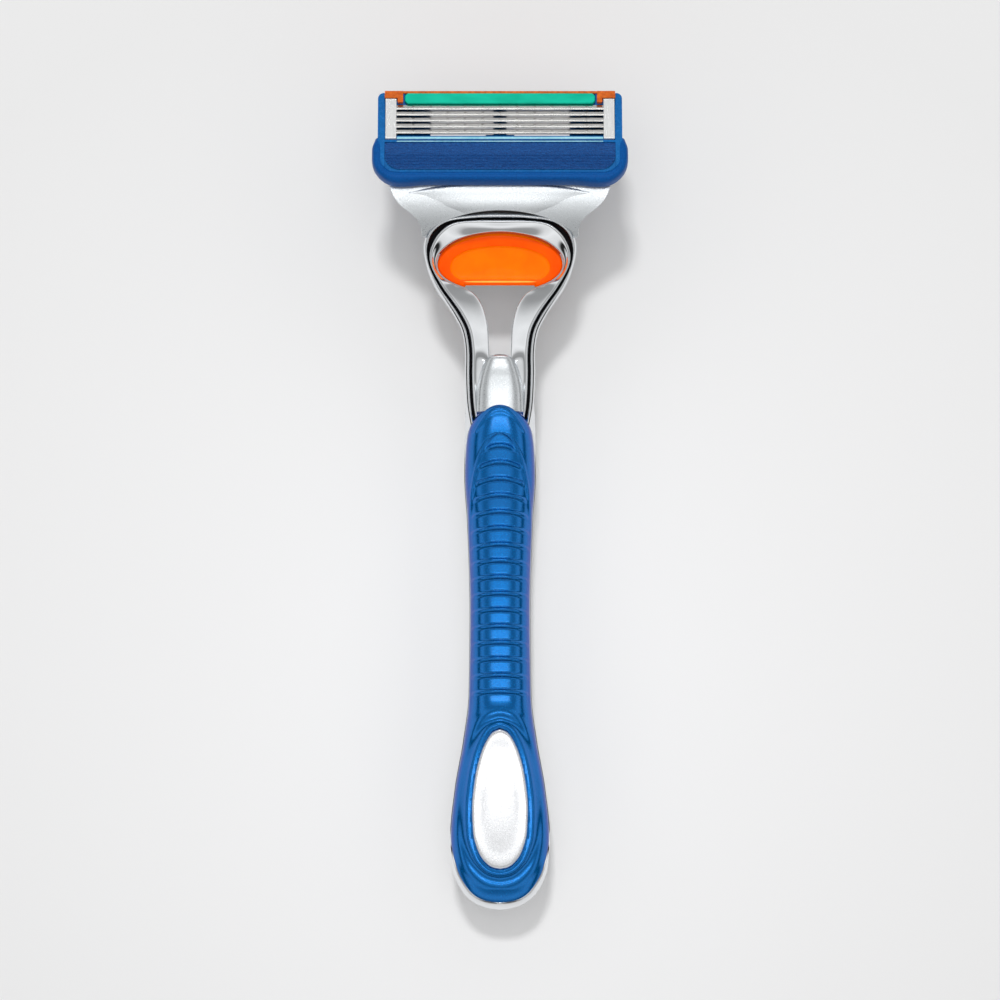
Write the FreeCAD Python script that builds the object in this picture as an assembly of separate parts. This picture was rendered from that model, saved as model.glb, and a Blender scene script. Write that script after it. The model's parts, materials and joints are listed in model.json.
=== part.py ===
import FreeCAD, Part
import math
import os
from FreeCAD import Placement, Rotation, Vector

# Cartridge razor with five blades, lying on its back with the blades up.
# +X is the razor's right, +Y runs from the tail of the handle to the cartridge, +Z is up.
# The origin is the centre of the bounding box's bottom face. All lengths are millimetres.
#
# Two tilted frames carry the head: in both, X is shared.
#   head frame       Y runs out of the handle's dock, Z is up through the release button
#   cartridge frame  Y runs from the guard to the cap, Z is out of the shaving face,
#                    and the origin is on the axis that the blade unit pivots about

OUT = "parts"

# ---- driving dimensions ----
TAIL_Y = -70.3  # handle's tail, before the model is centred
HEAD_ORIGIN = Vector(0, 40.8, 13.2)  # middle of the fork's head
DOCK_TILT = 20.0  # degrees that the docking axis rises towards the cartridge
FACE_TILT = 8.0  # degrees that the shaving face falls towards the cap
PIVOT_S, PIVOT_N = 14.8, 2.2  # pivot axis in the head frame
PIVOT_RANGE = 40.0  # degrees
BLADE_PITCH = 1.05
BLADE_COUNT = 5
FIRST_EDGE = 4.95  # first cutting edge, from the pivot axis towards the cap
BLADE_TRAVEL = 0.25
BUTTON_TRAVEL = 2.5
DETACH_TRAVEL = 14.0
GAP = 0.06  # clearance between parts that slide on each other
SEAM = 0.05  # clearance between parts that are fixed to each other
FAR = 40.0  # past the razor's outside, for the tools that cut it

HOUSING_HALF = 20.4
GUARD_HALF = 21.1
FACE = 3.0  # shaving plane above the pivot axis
HOUSING_BACK = -2.0

HEAD = Placement(HEAD_ORIGIN, Rotation(Vector(1, 0, 0), DOCK_TILT))
CARTRIDGE = Placement(
    HEAD.multVec(Vector(0, PIVOT_S, PIVOT_N)), Rotation(Vector(1, 0, 0), -FACE_TILT)
)
HEAD_TO_CART = math.radians(DOCK_TILT + FACE_TILT)

# ---- plunger and the cam facet that it pushes ----
PLUNGER_N = -1.7  # plunger axis in the head frame
TIP_RADIUS = 0.8
CAM_LEAN = math.radians(PIVOT_RANGE / 2)  # facet's normal from the dock axis, at rest
CAM_OFFSET = 0.3 + TIP_RADIUS  # facet's distance from the pivot axis
CAM_GAP = 0.1
ARM_LENGTH = PIVOT_N - PLUNGER_N  # pivot axis to plunger axis


def tip_reach(turn):
    """How far past the pivot the plunger's tip centre lies when the blade unit has turned."""
    lean = CAM_LEAN - turn
    return (CAM_OFFSET - TIP_RADIUS + ARM_LENGTH * math.sin(lean)) / math.cos(lean)


TIP_S = PIVOT_S + tip_reach(0) - CAM_GAP / math.cos(CAM_LEAN)
PLUNGER_TRAVEL = tip_reach(0) - tip_reach(math.radians(PIVOT_RANGE))


# ---- small helpers ----
def box(x0, x1, y0, y1, z0, z1):
    return Part.makeBox(x1 - x0, y1 - y0, z1 - z0, Vector(x0, y0, z0))


def both_sides(shape):
    """The shape and its mirror image across X = 0."""
    return [shape, shape.mirror(Vector(0, 0, 0), Vector(1, 0, 0))]


def fuse(shapes):
    return shapes[0].multiFuse(shapes[1:]).removeSplitter()


def cut(shape, tools):
    for tool in tools:
        shape = shape.cut(tool)
    return shape


def prism_x(points, x0, x1):
    """A (y, z) polygon extruded along X."""
    corners = [Vector(x0, y, z) for y, z in points]
    face = Part.Face(Part.makePolygon(corners + corners[:1]))
    return face.extrude(Vector(x1 - x0, 0, 0))


def prism_y(points, y0, y1):
    """An (x, z) polygon extruded along Y."""
    corners = [Vector(x, y0, z) for x, z in points]
    face = Part.Face(Part.makePolygon(corners + corners[:1]))
    return face.extrude(Vector(0, y1 - y0, 0))


def prism_z(points, z0, z1):
    """An (x, y) polygon extruded along Z."""
    corners = [Vector(x, y, z0) for x, y in points]
    face = Part.Face(Part.makePolygon(corners + corners[:1]))
    return face.extrude(Vector(0, 0, z1 - z0))


def cylinder_x(radius, x0, x1, y, z):
    return Part.makeCylinder(radius, x1 - x0, Vector(x0, y, z), Vector(1, 0, 0))


def cylinder_y(radius, y0, y1, x, z):
    return Part.makeCylinder(radius, y1 - y0, Vector(x, y0, z), Vector(0, 1, 0))


def upright_edges(plate, y):
    """A plate's vertical edges at y."""
    found = []
    for edge in plate.Edges:
        bounds = edge.BoundBox
        if bounds.ZLength > 1e-3 and abs(bounds.YMin - y) < 1e-4 and abs(bounds.YMax - y) < 1e-4:
            found.append(edge)
    return found


def round_plate(half, y0, y1, z0, z1, front_radius, back_radius):
    """A plate of width 2 half whose corners are rounded at y0 and at y1."""
    plate = box(-half, half, y0, y1, z0, z1)
    if front_radius:
        plate = plate.makeFillet(front_radius, upright_edges(plate, y0))
    if back_radius:
        plate = plate.makeFillet(back_radius, upright_edges(plate, y1))
    return plate


def smooth_curve_x(points, x):
    """An open spline through (y, z) points in the plane at x."""
    curve = Part.BSplineCurve()
    curve.interpolate([Vector(x, y, z) for y, z in points])
    return curve.toShape()


def smooth_sided_plate(right, z0, z1):
    """A plate whose right side is a spline through (x, y) points, and its left side the mirror."""
    sides = []
    for sign in (1, -1):
        curve = Part.BSplineCurve()
        curve.interpolate([Vector(sign * x, y, z0) for x, y in right])
        sides.append(curve.toShape())
    ends = []
    for x, y in (right[0], right[-1]):
        ends.append(Part.makeLine(Vector(-x, y, z0), Vector(x, y, z0)))
    wire = Part.Wire(Part.__sortEdges__(sides + ends))
    return Part.Face(wire).extrude(Vector(0, 0, z1 - z0))


def above_curve(points, half, top):
    """Everything above a smooth (y, z) line, as a solid of width 2 half."""
    line = smooth_curve_x(points, -half)
    (y0, z0), (y1, z1) = points[0], points[-1]
    sides = [
        Part.makeLine(Vector(-half, y1, z1), Vector(-half, y1, top)),
        Part.makeLine(Vector(-half, y1, top), Vector(-half, y0, top)),
        Part.makeLine(Vector(-half, y0, top), Vector(-half, y0, z0)),
    ]
    return Part.Face(Part.Wire([line] + sides)).extrude(Vector(2 * half, 0, 0))


def ring_points(half_width, low, high, exponent, count):
    """A rounded rectangle as (across, up) points on a superellipse."""
    middle, half_height = (low + high) / 2, (high - low) / 2
    points = []
    for k in range(count):
        turn = 2 * math.pi * k / count
        c, s = math.cos(turn), math.sin(turn)
        across = half_width * math.copysign(abs(c) ** (2 / exponent), c)
        up = middle + half_height * math.copysign(abs(s) ** (2 / exponent), s)
        points.append((across, up))
    return points


def closed_spline(points):
    curve = Part.BSplineCurve()
    curve.interpolate(Points=points, PeriodicFlag=True)
    return Part.Wire([curve.toShape()])


def loft(wires):
    return Part.makeLoft(wires, True, False, False, 3)


def loft_along_y(stations, exponent=2.5, count=28):
    """Lofts (y, half width, low z, high z) stations."""
    wires = []
    for y, half, low, high in stations:
        ring = ring_points(half, low, high, exponent, count)
        wires.append(closed_spline([Vector(x, y, z) for x, z in ring]))
    return loft(wires)


def loft_along_path(stations, exponent=2.6, count=24):
    """Lofts (x, y, half width, low z, high z) stations that follow a path seen from above."""
    wires = []
    for k, (x, y, half, low, high) in enumerate(stations):
        before = stations[max(k - 1, 0)]
        after = stations[min(k + 1, len(stations) - 1)]
        dx, dy = after[0] - before[0], after[1] - before[1]
        length = math.hypot(dx, dy)
        nx, ny = -dy / length, dx / length
        ring = ring_points(half, low, high, exponent, count)
        wires.append(closed_spline([Vector(x + a * nx, y + a * ny, z) for a, z in ring]))
    return loft(wires)


def in_frame(shape, frame):
    shape = shape.copy()
    shape.Placement = frame.multiply(shape.Placement)
    return shape


# ---- handle ----
CASING_STATIONS = [  # y, half width, low z, high z
    (TAIL_Y, 0.5, 7.7, 8.4),
    (-70.0, 2.2, 6.9, 9.2),
    (-69.0, 4.5, 5.7, 10.5),
    (-67.0, 6.5, 4.4, 11.6),
    (-63.0, 8.1, 2.9, 12.5),
    (-58.0, 8.45, 1.9, 12.9),
    (-50.0, 7.7, 1.0, 12.6),
    (-42.0, 6.3, 0.4, 11.8),
    (-34.0, 5.35, 0.0, 11.0),
    (-20.0, 5.2, -0.25, 10.6),
    (-5.0, 5.6, -0.1, 10.8),
    (3.0, 6.1, 0.5, 11.0),
    (12.0, 6.05, 1.9, 10.8),
    (16.0, 5.8, 3.2, 10.4),
    (19.0, 5.0, 5.0, 9.9),
    (20.8, 3.9, 6.4, 9.5),
    (21.6, 2.4, 7.3, 9.0),
]
GRIP_STATIONS = [
    (-70.1, 0.5, 7.7, 8.4),
    (-69.8, 2.1, 6.9, 9.1),
    (-68.8, 4.4, 5.7, 10.4),
    (-66.8, 6.4, 4.4, 11.5),
    (-63.0, 7.98, 2.9, 12.45),
    (-58.0, 8.33, 1.9, 12.9),
    (-50.0, 7.58, 1.0, 12.65),
    (-42.0, 6.18, 0.5, 11.9),
    (-34.0, 5.23, 0.2, 11.1),
    (-20.0, 5.08, 0.0, 10.9),
    (-5.0, 5.48, 0.2, 11.5),
    (3.0, 5.98, 0.8, 12.5),
    (8.0, 5.8, 1.6, 13.1),
    (10.8, 5.35, 2.4, 13.3),
    (13.0, 4.4, 3.4, 13.35),
    (14.6, 3.1, 5.0, 13.2),
    (15.4, 1.9, 7.0, 12.8),
    (15.7, 0.7, 9.0, 12.3),
]
PARTING_LINE = [  # y, z where the grip meets the casing
    (-72.0, 10.9),
    (-66.0, 10.6),
    (-63.0, 10.2),
    (-60.0, 9.0),
    (-57.0, 7.2),
    (-45.0, 5.9),
    (-30.0, 5.5),
    (-10.0, 5.6),
    (2.0, 6.1),
    (6.0, 6.9),
    (10.0, 8.5),
    (14.0, 10.6),
    (17.0, 12.2),
]
FORK_STATIONS = [  # x, y, half width, low z, high z; from the neck to the middle of the head
    (3.5, 12.0, 1.6, 3.6, 9.6),
    (3.75, 16.0, 2.1, 3.7, 10.4),
    (3.9, 20.0, 2.12, 4.5, 11.0),
    (3.92, 24.2, 2.07, 5.9, 11.9),
    (4.3, 28.1, 2.2, 7.3, 12.8),
    (5.95, 31.3, 2.25, 8.3, 13.8),
    (8.2, 34.5, 2.15, 9.1, 14.8),
    (10.6, 37.7, 1.85, 9.6, 15.7),
    (11.55, 41.0, 1.4, 10.6, 16.8),
    (10.0, 43.6, 1.35, 13.4, 17.7),
    (5.5, 45.1, 1.35, 16.1, 18.2),
    (0.0, 45.4, 1.35, 16.4, 18.3),
]
BEZEL_INSET = 0.3  # towards the fork's opening
BEZEL_NARROWER = 0.45
BEZEL_DEPTH = 1.15  # how much of the fork's height the bezel makes up
BEZEL_PROUD = 0.25


def horseshoe(stations):
    """Mirrors the stations, which end on X = 0, into a full path from neck to neck."""
    mirrored = [(-x, y, half, low, high) for x, y, half, low, high in stations[:-1]]
    return stations + mirrored[::-1]


def bezel_stations():
    """The front bezel lies on the fork's body, along the same path but set in."""
    stations = []
    last = len(FORK_STATIONS) - 1
    for k, (x, y, half, low, high) in enumerate(FORK_STATIONS[2:], 2):
        before, after = FORK_STATIONS[k - 1], FORK_STATIONS[min(k + 1, last)]
        dx, dy = after[0] - before[0], after[1] - before[1]
        if k == last:
            dx, dy = -1.0, 0.0
        length = math.hypot(dx, dy)
        x -= BEZEL_INSET * dy / length
        y += BEZEL_INSET * dx / length if k < last else -BEZEL_INSET
        low, high = high - BEZEL_DEPTH, high + BEZEL_PROUD
        stations.append((max(x, 0.0), y, half - BEZEL_NARROWER, low, high))
    return horseshoe(stations)


def fork_body():
    """The fork under the bezel."""
    lowered = BEZEL_DEPTH + SEAM
    stations = [(x, y, half, low, high - lowered) for x, y, half, low, high in FORK_STATIONS]
    return loft_along_path(horseshoe(stations))


def above_parting():
    """The space that the grip fills, down to where it meets the casing."""
    return above_curve(PARTING_LINE, 12, FAR)


def grip_solid():
    return loft_along_y(GRIP_STATIONS).common(above_parting())


# ---- back pad ----
PAD_HALF = 3.4
PAD_FROM, PAD_TO = -40.0, 6.0
PAD_TOP = 1.5
REST_FROM, REST_TO = -27.0, -11.0  # smooth flat that the razor lies on
GROOVE_PITCH = 2.2
GROOVE_RADIUS, GROOVE_HALF = 0.32, 2.6
GROOVE_MARGIN_BACK, GROOVE_MARGIN_FRONT = 4.0, 3.0


def pad_prism(swell, z0, z1):
    """The pad's long round-ended outline."""
    half = PAD_HALF + swell
    height = Vector(0, 0, z1 - z0)
    ends = [
        Part.makeCylinder(half, height.z, Vector(0, y, z0))
        for y in (PAD_FROM + PAD_HALF, PAD_TO - PAD_HALF)
    ]
    middle = box(-half, half, PAD_FROM + PAD_HALF, PAD_TO - PAD_HALF, z0, z1)
    return fuse([middle] + ends)


def back_pad(casing_body):
    pad = casing_body.common(pad_prism(0, -2, PAD_TOP))
    pad = pad.cut(box(-FAR, FAR, -2 * FAR, FAR, -FAR, 0))
    grooves = []
    y = PAD_FROM + GROOVE_MARGIN_BACK
    while y < PAD_TO - GROOVE_MARGIN_FRONT:
        if not REST_FROM < y < REST_TO:
            grooves.append(cylinder_x(GROOVE_RADIUS, -GROOVE_HALF, GROOVE_HALF, y, lowest_z(y) - 0.02))
        y += GROOVE_PITCH
    return cut(pad, grooves)


def lowest_z(y):
    """The casing's back at y, read off its stations with straight runs, never under the floor."""
    for (y0, _, z0, _), (y1, _, z1, _) in zip(CASING_STATIONS, CASING_STATIONS[1:]):
        if y0 <= y <= y1:
            return max(0.0, z0 + (z1 - z0) * (y - y0) / (y1 - y0))
    raise ValueError("outside the casing")


# ---- badge ----
BADGE_STATIONS = [  # y, half width of the egg-shaped outline
    (-63.3, 0.0),
    (-62.6, 2.1),
    (-60.6, 3.6),
    (-57.0, 4.6),
    (-53.0, 4.75),
    (-48.0, 4.25),
    (-44.0, 3.3),
    (-41.2, 2.0),
    (-40.2, 1.0),
    (-39.8, 0.0),
]
BADGE_DEPTH = 1.2
BADGE_SINK = 0.35  # below the grip's own surface
BADGE_CUT_FROM, BADGE_CUT_TO = 5.0, 20.0


def egg_prism(swell):
    """The badge's outline, grown by swell, through the front of the grip."""
    right = [(half + swell if half else 0.0, y) for y, half in BADGE_STATIONS]
    right[0] = (0.0, right[0][1] - swell)
    right[-1] = (0.0, right[-1][1] + swell)
    left = [(-x, y) for x, y in right[1:-1]][::-1]
    wire = closed_spline([Vector(x, y, BADGE_CUT_FROM) for x, y in right + left])
    return Part.Face(wire).extrude(Vector(0, 0, BADGE_CUT_TO - BADGE_CUT_FROM))


def badge_body(lower_by):
    """The grip's upper skin, dropped, for the badge's curved front."""
    skin = [(y, half, low, high - lower_by) for y, half, low, high in GRIP_STATIONS]
    return loft_along_y(skin)


# ---- neck insert ----
INSERT_STATIONS = [  # y, half width, low z, high z
    (14.5, 4.2, 8.4, 12.5),
    (17.0, 4.1, 8.7, 12.5),
    (19.5, 3.75, 9.1, 12.7),
    (21.8, 3.2, 9.6, 13.0),
    (23.0, 2.6, 10.2, 13.0),
    (23.6, 1.6, 10.9, 12.7),
    (23.8, 0.6, 11.4, 12.2),
]


# ---- release button, dock and plunger, in the head frame ----
BUTTON_HALF = 10.6
BUTTON_BACK, BUTTON_MIDDLE, BUTTON_FRONT = -6.7, -2.0, 3.75
BUTTON_CUT = -5.5  # straight edge across the fork's opening
BUTTON_CUT_HALF = 6.2
BUTTON_LOW, BUTTON_SPLIT, BUTTON_TOP = 0.12, 0.75, 1.8
BUTTON_GAP = 0.12  # round the button, all the way along its stroke
DISH_HALF, DISH_BACK, DISH_MIDDLE, DISH_FRONT = 8.3, -9.5, -2.3, 1.7
DISH_DEPTH = 0.55
PUSHER_FROM, PUSHER_TO = 8.8, 10.1  # pusher arms, from the middle plane
ARM_SLOT_END = 6.6
DOCK_HALF, DOCK_LOW, DOCK_TOP = 10.6, -3.4, -0.05
NOSE_HALF, NOSE_FRONT = 8.4, 11.4
NOSE_LOW, NOSE_TOP = -3.1, 0.6
SHOULDER_S = 6.0
NOSE_STEP = 6.5  # the nose is thicker from here, past the button's travel
BORE_RADIUS = 1.27
SHAFT_RADIUS = 1.2
SHAFT_FROM, SHAFT_TO = 2.0, 5.0
TONGUE_HALF = 2.0
LUG_BACK, LUG_FRONT = -4.95, -4.35
LUG_HALF = 0.85
SPRING_RADIUS, SPRING_WIRE = 0.92, 0.17
SPRING_TURNS = 7
PUSHER_REACH = 2.8  # stops just short of the connecting member at the end of the stroke


def half_ellipse_plate(half, front, middle, back, z0, z1):
    """An oval plate whose front and back halves have different depths."""
    parts = []
    for depth, side in ((front - middle, 1), (middle - back, -1)):
        oval = Part.Face(Part.Wire([oval_edge(half, depth, middle, z0)]))
        y0, y1 = sorted((0, side * FAR))
        keep = box(-half - 1, half + 1, y0, y1, z0 - 1, z1 + 1)
        keep.translate(Vector(0, middle, 0))
        parts.append(oval.extrude(Vector(0, 0, z1 - z0)).common(keep))
    return fuse(parts)


def oval_edge(half, depth, middle, z):
    centre = Vector(0, middle, z)
    if half >= depth:
        return Part.Ellipse(centre, half, depth).toShape()
    oval = Part.Ellipse(centre, depth, half)
    oval.rotate(Placement(centre, Rotation(Vector(0, 0, 1), 90)))
    return oval.toShape()


def button_plate(swell, z0, z1, travel=0.0):
    """The button's outline, grown by swell and swept forwards by travel."""
    half = BUTTON_HALF + swell
    front, middle, back = BUTTON_FRONT + swell, BUTTON_MIDDLE, BUTTON_BACK - swell
    plate = half_ellipse_plate(half, front, middle, back, z0, z1)
    if travel:
        moved = plate.copy()
        moved.translate(Vector(0, travel, 0))
        bridge = box(-half, half, middle, middle + travel, z0, z1)
        plate = fuse([plate, bridge, moved])
    return plate


def straight_edge():
    """What is cut off the button's oval, across the fork's opening."""
    return box(-BUTTON_CUT_HALF, BUTTON_CUT_HALF, -FAR, BUTTON_CUT, -FAR, FAR)


def release_button():
    """The orange pad: a shallow dish with a straight lower edge."""
    pad = button_plate(0, BUTTON_SPLIT, BUTTON_TOP).cut(straight_edge())
    floor = BUTTON_TOP - DISH_DEPTH
    dish = half_ellipse_plate(DISH_HALF, DISH_FRONT, DISH_MIDDLE, DISH_BACK, floor, 4)
    dish = dish.makeFillet(0.5, [e for e in dish.Edges if e.BoundBox.ZMax < BUTTON_TOP])
    pad = pad.cut(dish)
    rim = [e for e in pad.Edges if e.BoundBox.ZMin > BUTTON_TOP - 1e-3]
    return pad.makeFillet(0.25, rim)


def pusher_arm(swell, reach):
    x0, x1 = PUSHER_FROM - swell, PUSHER_TO + swell
    return box(x0, x1, -0.5, reach, BUTTON_LOW - swell, BUTTON_SPLIT + swell)


def button_pusher():
    """The moulded core under the pad, with two pusher arms and the lug for the spring."""
    core = button_plate(0, BUTTON_LOW, BUTTON_SPLIT).cut(straight_edge())
    lug = box(-LUG_HALF, LUG_HALF, LUG_BACK, LUG_FRONT, PLUNGER_N - 0.9, BUTTON_LOW)
    return fuse([core, lug] + both_sides(pusher_arm(0, PUSHER_REACH)))


def lug_slot(swell):
    return box(
        -LUG_HALF - swell,
        LUG_HALF + swell,
        LUG_BACK - 0.5,
        LUG_FRONT + BUTTON_TRAVEL + 0.15,
        PLUNGER_N - 0.9 - swell,
        DOCK_TOP + 1,
    )


def dock_block():
    """Both dock halves as one block: the seat in the fork and the nose in front of it."""
    right = [
        (6.0, -5.2),
        (9.2, -2.6),
        (DOCK_HALF, 0.5),
        (DOCK_HALF, 3.0),
        (NOSE_HALF, 5.8),
        (NOSE_HALF, SHOULDER_S),
    ]
    outline = right + [(-x, y) for x, y in right[::-1]]
    seat = prism_z(outline, DOCK_LOW, DOCK_TOP)
    nose = round_plate(NOSE_HALF, SHOULDER_S - 0.1, NOSE_FRONT, NOSE_LOW, NOSE_TOP, 0, 1.6)
    nose = nose.cut(box(-FAR, FAR, 0, NOSE_STEP, DOCK_TOP, FAR))
    return seat, nose


def dock_passages():
    """What is hollow inside the dock: the bore, the tongue's slot and the lug's slot."""
    bore = cylinder_y(BORE_RADIUS, LUG_BACK - 0.6, SHAFT_TO + 0.3, 0, PLUNGER_N)
    slot = box(
        -TONGUE_HALF - GAP,
        TONGUE_HALF + GAP,
        SHAFT_FROM - 0.6,
        NOSE_FRONT + 1,
        PLUNGER_N - TIP_RADIUS - GAP,
        PLUNGER_N + TIP_RADIUS + GAP,
    )
    return [bore, slot, lug_slot(0.08)]


def dock_halves():
    seat, nose = dock_block()
    whole = cut(fuse([seat, nose]), dock_passages())
    upper = whole.cut(box(-FAR, FAR, -FAR, FAR, -FAR, PLUNGER_N))
    lower = whole.cut(box(-FAR, FAR, -FAR, FAR, PLUNGER_N, FAR))
    return upper, lower


def plunger():
    shaft = cylinder_y(SHAFT_RADIUS, SHAFT_FROM, SHAFT_TO, 0, PLUNGER_N)
    tongue = box(
        -TONGUE_HALF,
        TONGUE_HALF,
        SHAFT_TO - 0.6,
        TIP_S,
        PLUNGER_N - TIP_RADIUS,
        PLUNGER_N + TIP_RADIUS,
    )
    tip = cylinder_x(TIP_RADIUS, -TONGUE_HALF, TONGUE_HALF, TIP_S, PLUNGER_N)
    return fuse([shaft, tongue, tip])


def plunger_spring():
    """A coil between the button's lug and the back of the plunger's shaft."""
    end_gap = 0.03
    length = SHAFT_FROM - LUG_FRONT - 2 * (SPRING_WIRE + end_gap)
    helix = Part.makeHelix(length / SPRING_TURNS, length, SPRING_RADIUS)
    start = Vector(SPRING_RADIUS, 0, 0)
    ring = Part.Wire([Part.Circle(start, Vector(0, 1, 0), SPRING_WIRE).toShape()])
    coil = Part.Wire(helix.Edges).makePipeShell([ring], True, True)
    coil.Placement = Placement(
        Vector(0, LUG_FRONT + SPRING_WIRE + end_gap, PLUNGER_N), Rotation(Vector(1, 0, 0), -90)
    )
    return coil


# ---- connecting member, in the head frame ----
REAR_ARC_HALF, REAR_ARC_DEPTH, REAR_ARC_FRONT = 14.5, 8.0, 7.75
MEMBER_BACK, MEMBER_FRONT = 2.5, 12.8
MEMBER_LOW, WING_LOW = -4.1, -0.5
WING_FROM = 11.0  # the shell is thinner outside this
SLOT_GAP = 0.15  # round the plunger's tongue
EYE_RADIUS = 1.4  # of the arms, round the pivot pins
ARM_FROM, ARM_TO = 13.6, 16.4
PIN_RADIUS, PIN_END = 1.1, 18.3


def member_shell():
    """The satin shell: flared sides, a falling top and a rear edge that curves round the fork."""
    side = [
        (13.2, -1.0),
        (13.2, 2.5),
        (13.35, 5.2),
        (14.7, 7.0),
        (16.6, 8.5),
        (18.0, 10.4),
        (18.6, MEMBER_FRONT),
    ]
    top_line = [
        (-2.0, 3.2),
        (4.0, 3.4),
        (8.0, 3.25),
        (10.5, 2.7),
        (12.0, 2.25),
        (MEMBER_FRONT + 1, 1.7),
    ]
    shell = smooth_sided_plate(side, MEMBER_LOW, 5).cut(above_curve(top_line, 25, 9))
    centre = REAR_ARC_FRONT - REAR_ARC_DEPTH
    arc = Part.Face(Part.Wire([oval_edge(REAR_ARC_HALF, REAR_ARC_DEPTH, centre, -6)]))
    shell = shell.cut(arc.extrude(Vector(0, 0, 12)))
    shell = shell.cut(box(-FAR, FAR, -FAR, MEMBER_BACK, -FAR, FAR))
    return cut(shell, both_sides(box(WING_FROM, FAR, -FAR, FAR, -FAR, WING_LOW)))


def connecting_member():
    """The shell with the socket for the dock's nose, and the two arms with the pivot pins."""
    pocket_half = NOSE_HALF + GAP
    pocket = box(
        -pocket_half, pocket_half, -5, NOSE_FRONT + 0.2, NOSE_LOW - GAP, NOSE_TOP + GAP
    )
    slot_half = TONGUE_HALF + SLOT_GAP
    slot_low = PLUNGER_N - TIP_RADIUS - SLOT_GAP
    slot_top = PLUNGER_N + TIP_RADIUS + SLOT_GAP
    slot = box(-slot_half, slot_half, 5, 20, slot_low, slot_top)
    shell = cut(member_shell(), [pocket, slot])
    diagonal = EYE_RADIUS * math.sqrt(0.5)
    arm_outline = [
        (11.6, WING_LOW),
        (MEMBER_FRONT - 0.2, WING_LOW),
        (PIVOT_S + diagonal, PIVOT_N - diagonal),
        (PIVOT_S, PIVOT_N),
        (PIVOT_S - EYE_RADIUS, PIVOT_N - 0.15),
        (12.4, 1.6),
        (11.6, 1.6),
    ]
    arm = prism_x(arm_outline, ARM_FROM, ARM_TO)
    eye = cylinder_x(EYE_RADIUS, ARM_FROM, ARM_TO, PIVOT_S, PIVOT_N)
    pin = cylinder_x(PIN_RADIUS, ARM_TO - 0.5, PIN_END, PIVOT_S, PIVOT_N)
    return fuse([shell] + both_sides(arm) + both_sides(eye) + both_sides(pin))


# ---- blade unit, in the cartridge frame ----
WINDOW_HALF = 17.3
WINDOW_FROM, WINDOW_TO = 4.55, 10.12
CAP_END = 12.1
GUARD_FRONT, GUARD_BACK = -2.9, 4.5
GUARD_LOW = -0.7
CORE_FRONT = -1.6
CORE_TOP = 2.9
FRONT_RADIUS, CAP_RADIUS = 3.2, 1.0
SILL = 2.0
STRIP_HALF, STRIP_FROM, STRIP_TO, STRIP_LOW = 15.9, 10.2, 12.02, 2.22
BED_LOW = 2.57  # underside of the fins' bed
OPEN_FROM, OPEN_TO = 1.1, 11.7
CLIP_FROM, CLIP_TO = 17.3, 19.1
CLIP_SHEET = 0.3
CLIP_GUARD_END, CLIP_CAP_END = 3.95, 11.0
BASE_FROM, BASE_TO = 0.60, 0.86  # a blade support's upright, behind its edge
BASE_LOW = 0.75
BLADE_HALF = 18.2
BLADE_LEAN = math.radians(21.5)
LUG_RADIUS, LUG_END = 1.58, 19.0  # lugs on the pivot axis
FIN_COUNT, FIN_PITCH, FIN_FIRST = 9, 0.5, -0.75
FIELD_HALF = 19.2
CAM_HALF = 2.4
CAM_FROM, CAM_TO = 3.2, 4.9  # along the facet from the foot of its normal


def edge_v(k):
    return FIRST_EDGE + BLADE_PITCH * k


def housing_frame():
    """The moulded frame: open window, clip seats, strip seat and a hollow front."""
    frame = round_plate(
        HOUSING_HALF, CORE_FRONT, CAP_END, HOUSING_BACK, CORE_TOP, FRONT_RADIUS, CAP_RADIUS
    )
    clip_end = CLIP_TO + 0.1
    strip_half = STRIP_HALF + SEAM
    window = box(-WINDOW_HALF, WINDOW_HALF, WINDOW_FROM, WINDOW_TO, -5, 5)
    over_sills = box(-clip_end, clip_end, WINDOW_FROM, WINDOW_TO, SILL, 5)
    under_guard = box(-18.6, 18.6, -5, 4.2, -5, 1.8)
    low_front = box(-FAR, FAR, -5, 3.2, -5, -0.9)
    over_guard = box(-FIELD_HALF - SEAM, FIELD_HALF + SEAM, -5, 3.5, BED_LOW - 0.02, 5)
    cap_top = box(-19.3, 19.3, WINDOW_TO - 0.1, 15, 2.5, 5)
    strip_seat = box(-strip_half, strip_half, WINDOW_TO - 0.1, 15, STRIP_LOW - 0.02, 5)
    frame = cut(frame, [window, over_sills, under_guard, low_front, over_guard, cap_top])
    frame = frame.cut(strip_seat)
    # the seat for each clip's strap and the slots that its legs pass through
    for x0, x1 in ((CLIP_FROM - SEAM, clip_end), (-clip_end, -CLIP_FROM + SEAM)):
        near, far = CLIP_GUARD_END - SEAM, CLIP_CAP_END + SEAM
        leg = CLIP_SHEET + 2 * SEAM
        seat = box(x0, x1, near, WINDOW_TO + 1.0, FACE, 5)
        guard_slot = box(x0, x1, near, near + leg, -5, 5)
        cap_slot = box(x0, x1, far - leg, far, -5, 5)
        frame = cut(frame, [seat, guard_slot, cap_slot])
    return frame


def housing_cam():
    """The facet that the plunger pushes, under the front bar."""
    along, up = math.cos(CAM_LEAN + HEAD_TO_CART), math.sin(CAM_LEAN + HEAD_TO_CART)
    foot = (CAM_OFFSET * along, CAM_OFFSET * up)
    near = (foot[0] + CAM_FROM * up, foot[1] - CAM_FROM * along)
    far = (foot[0] + CAM_TO * up, foot[1] - CAM_TO * along)
    back = [(5.6, far[1]), (5.6, 0.4), (4.3, 0.4), (4.3, 1.9), (near[0], 1.9)]
    return prism_x([near, far] + back, -CAM_HALF, CAM_HALF)


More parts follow.
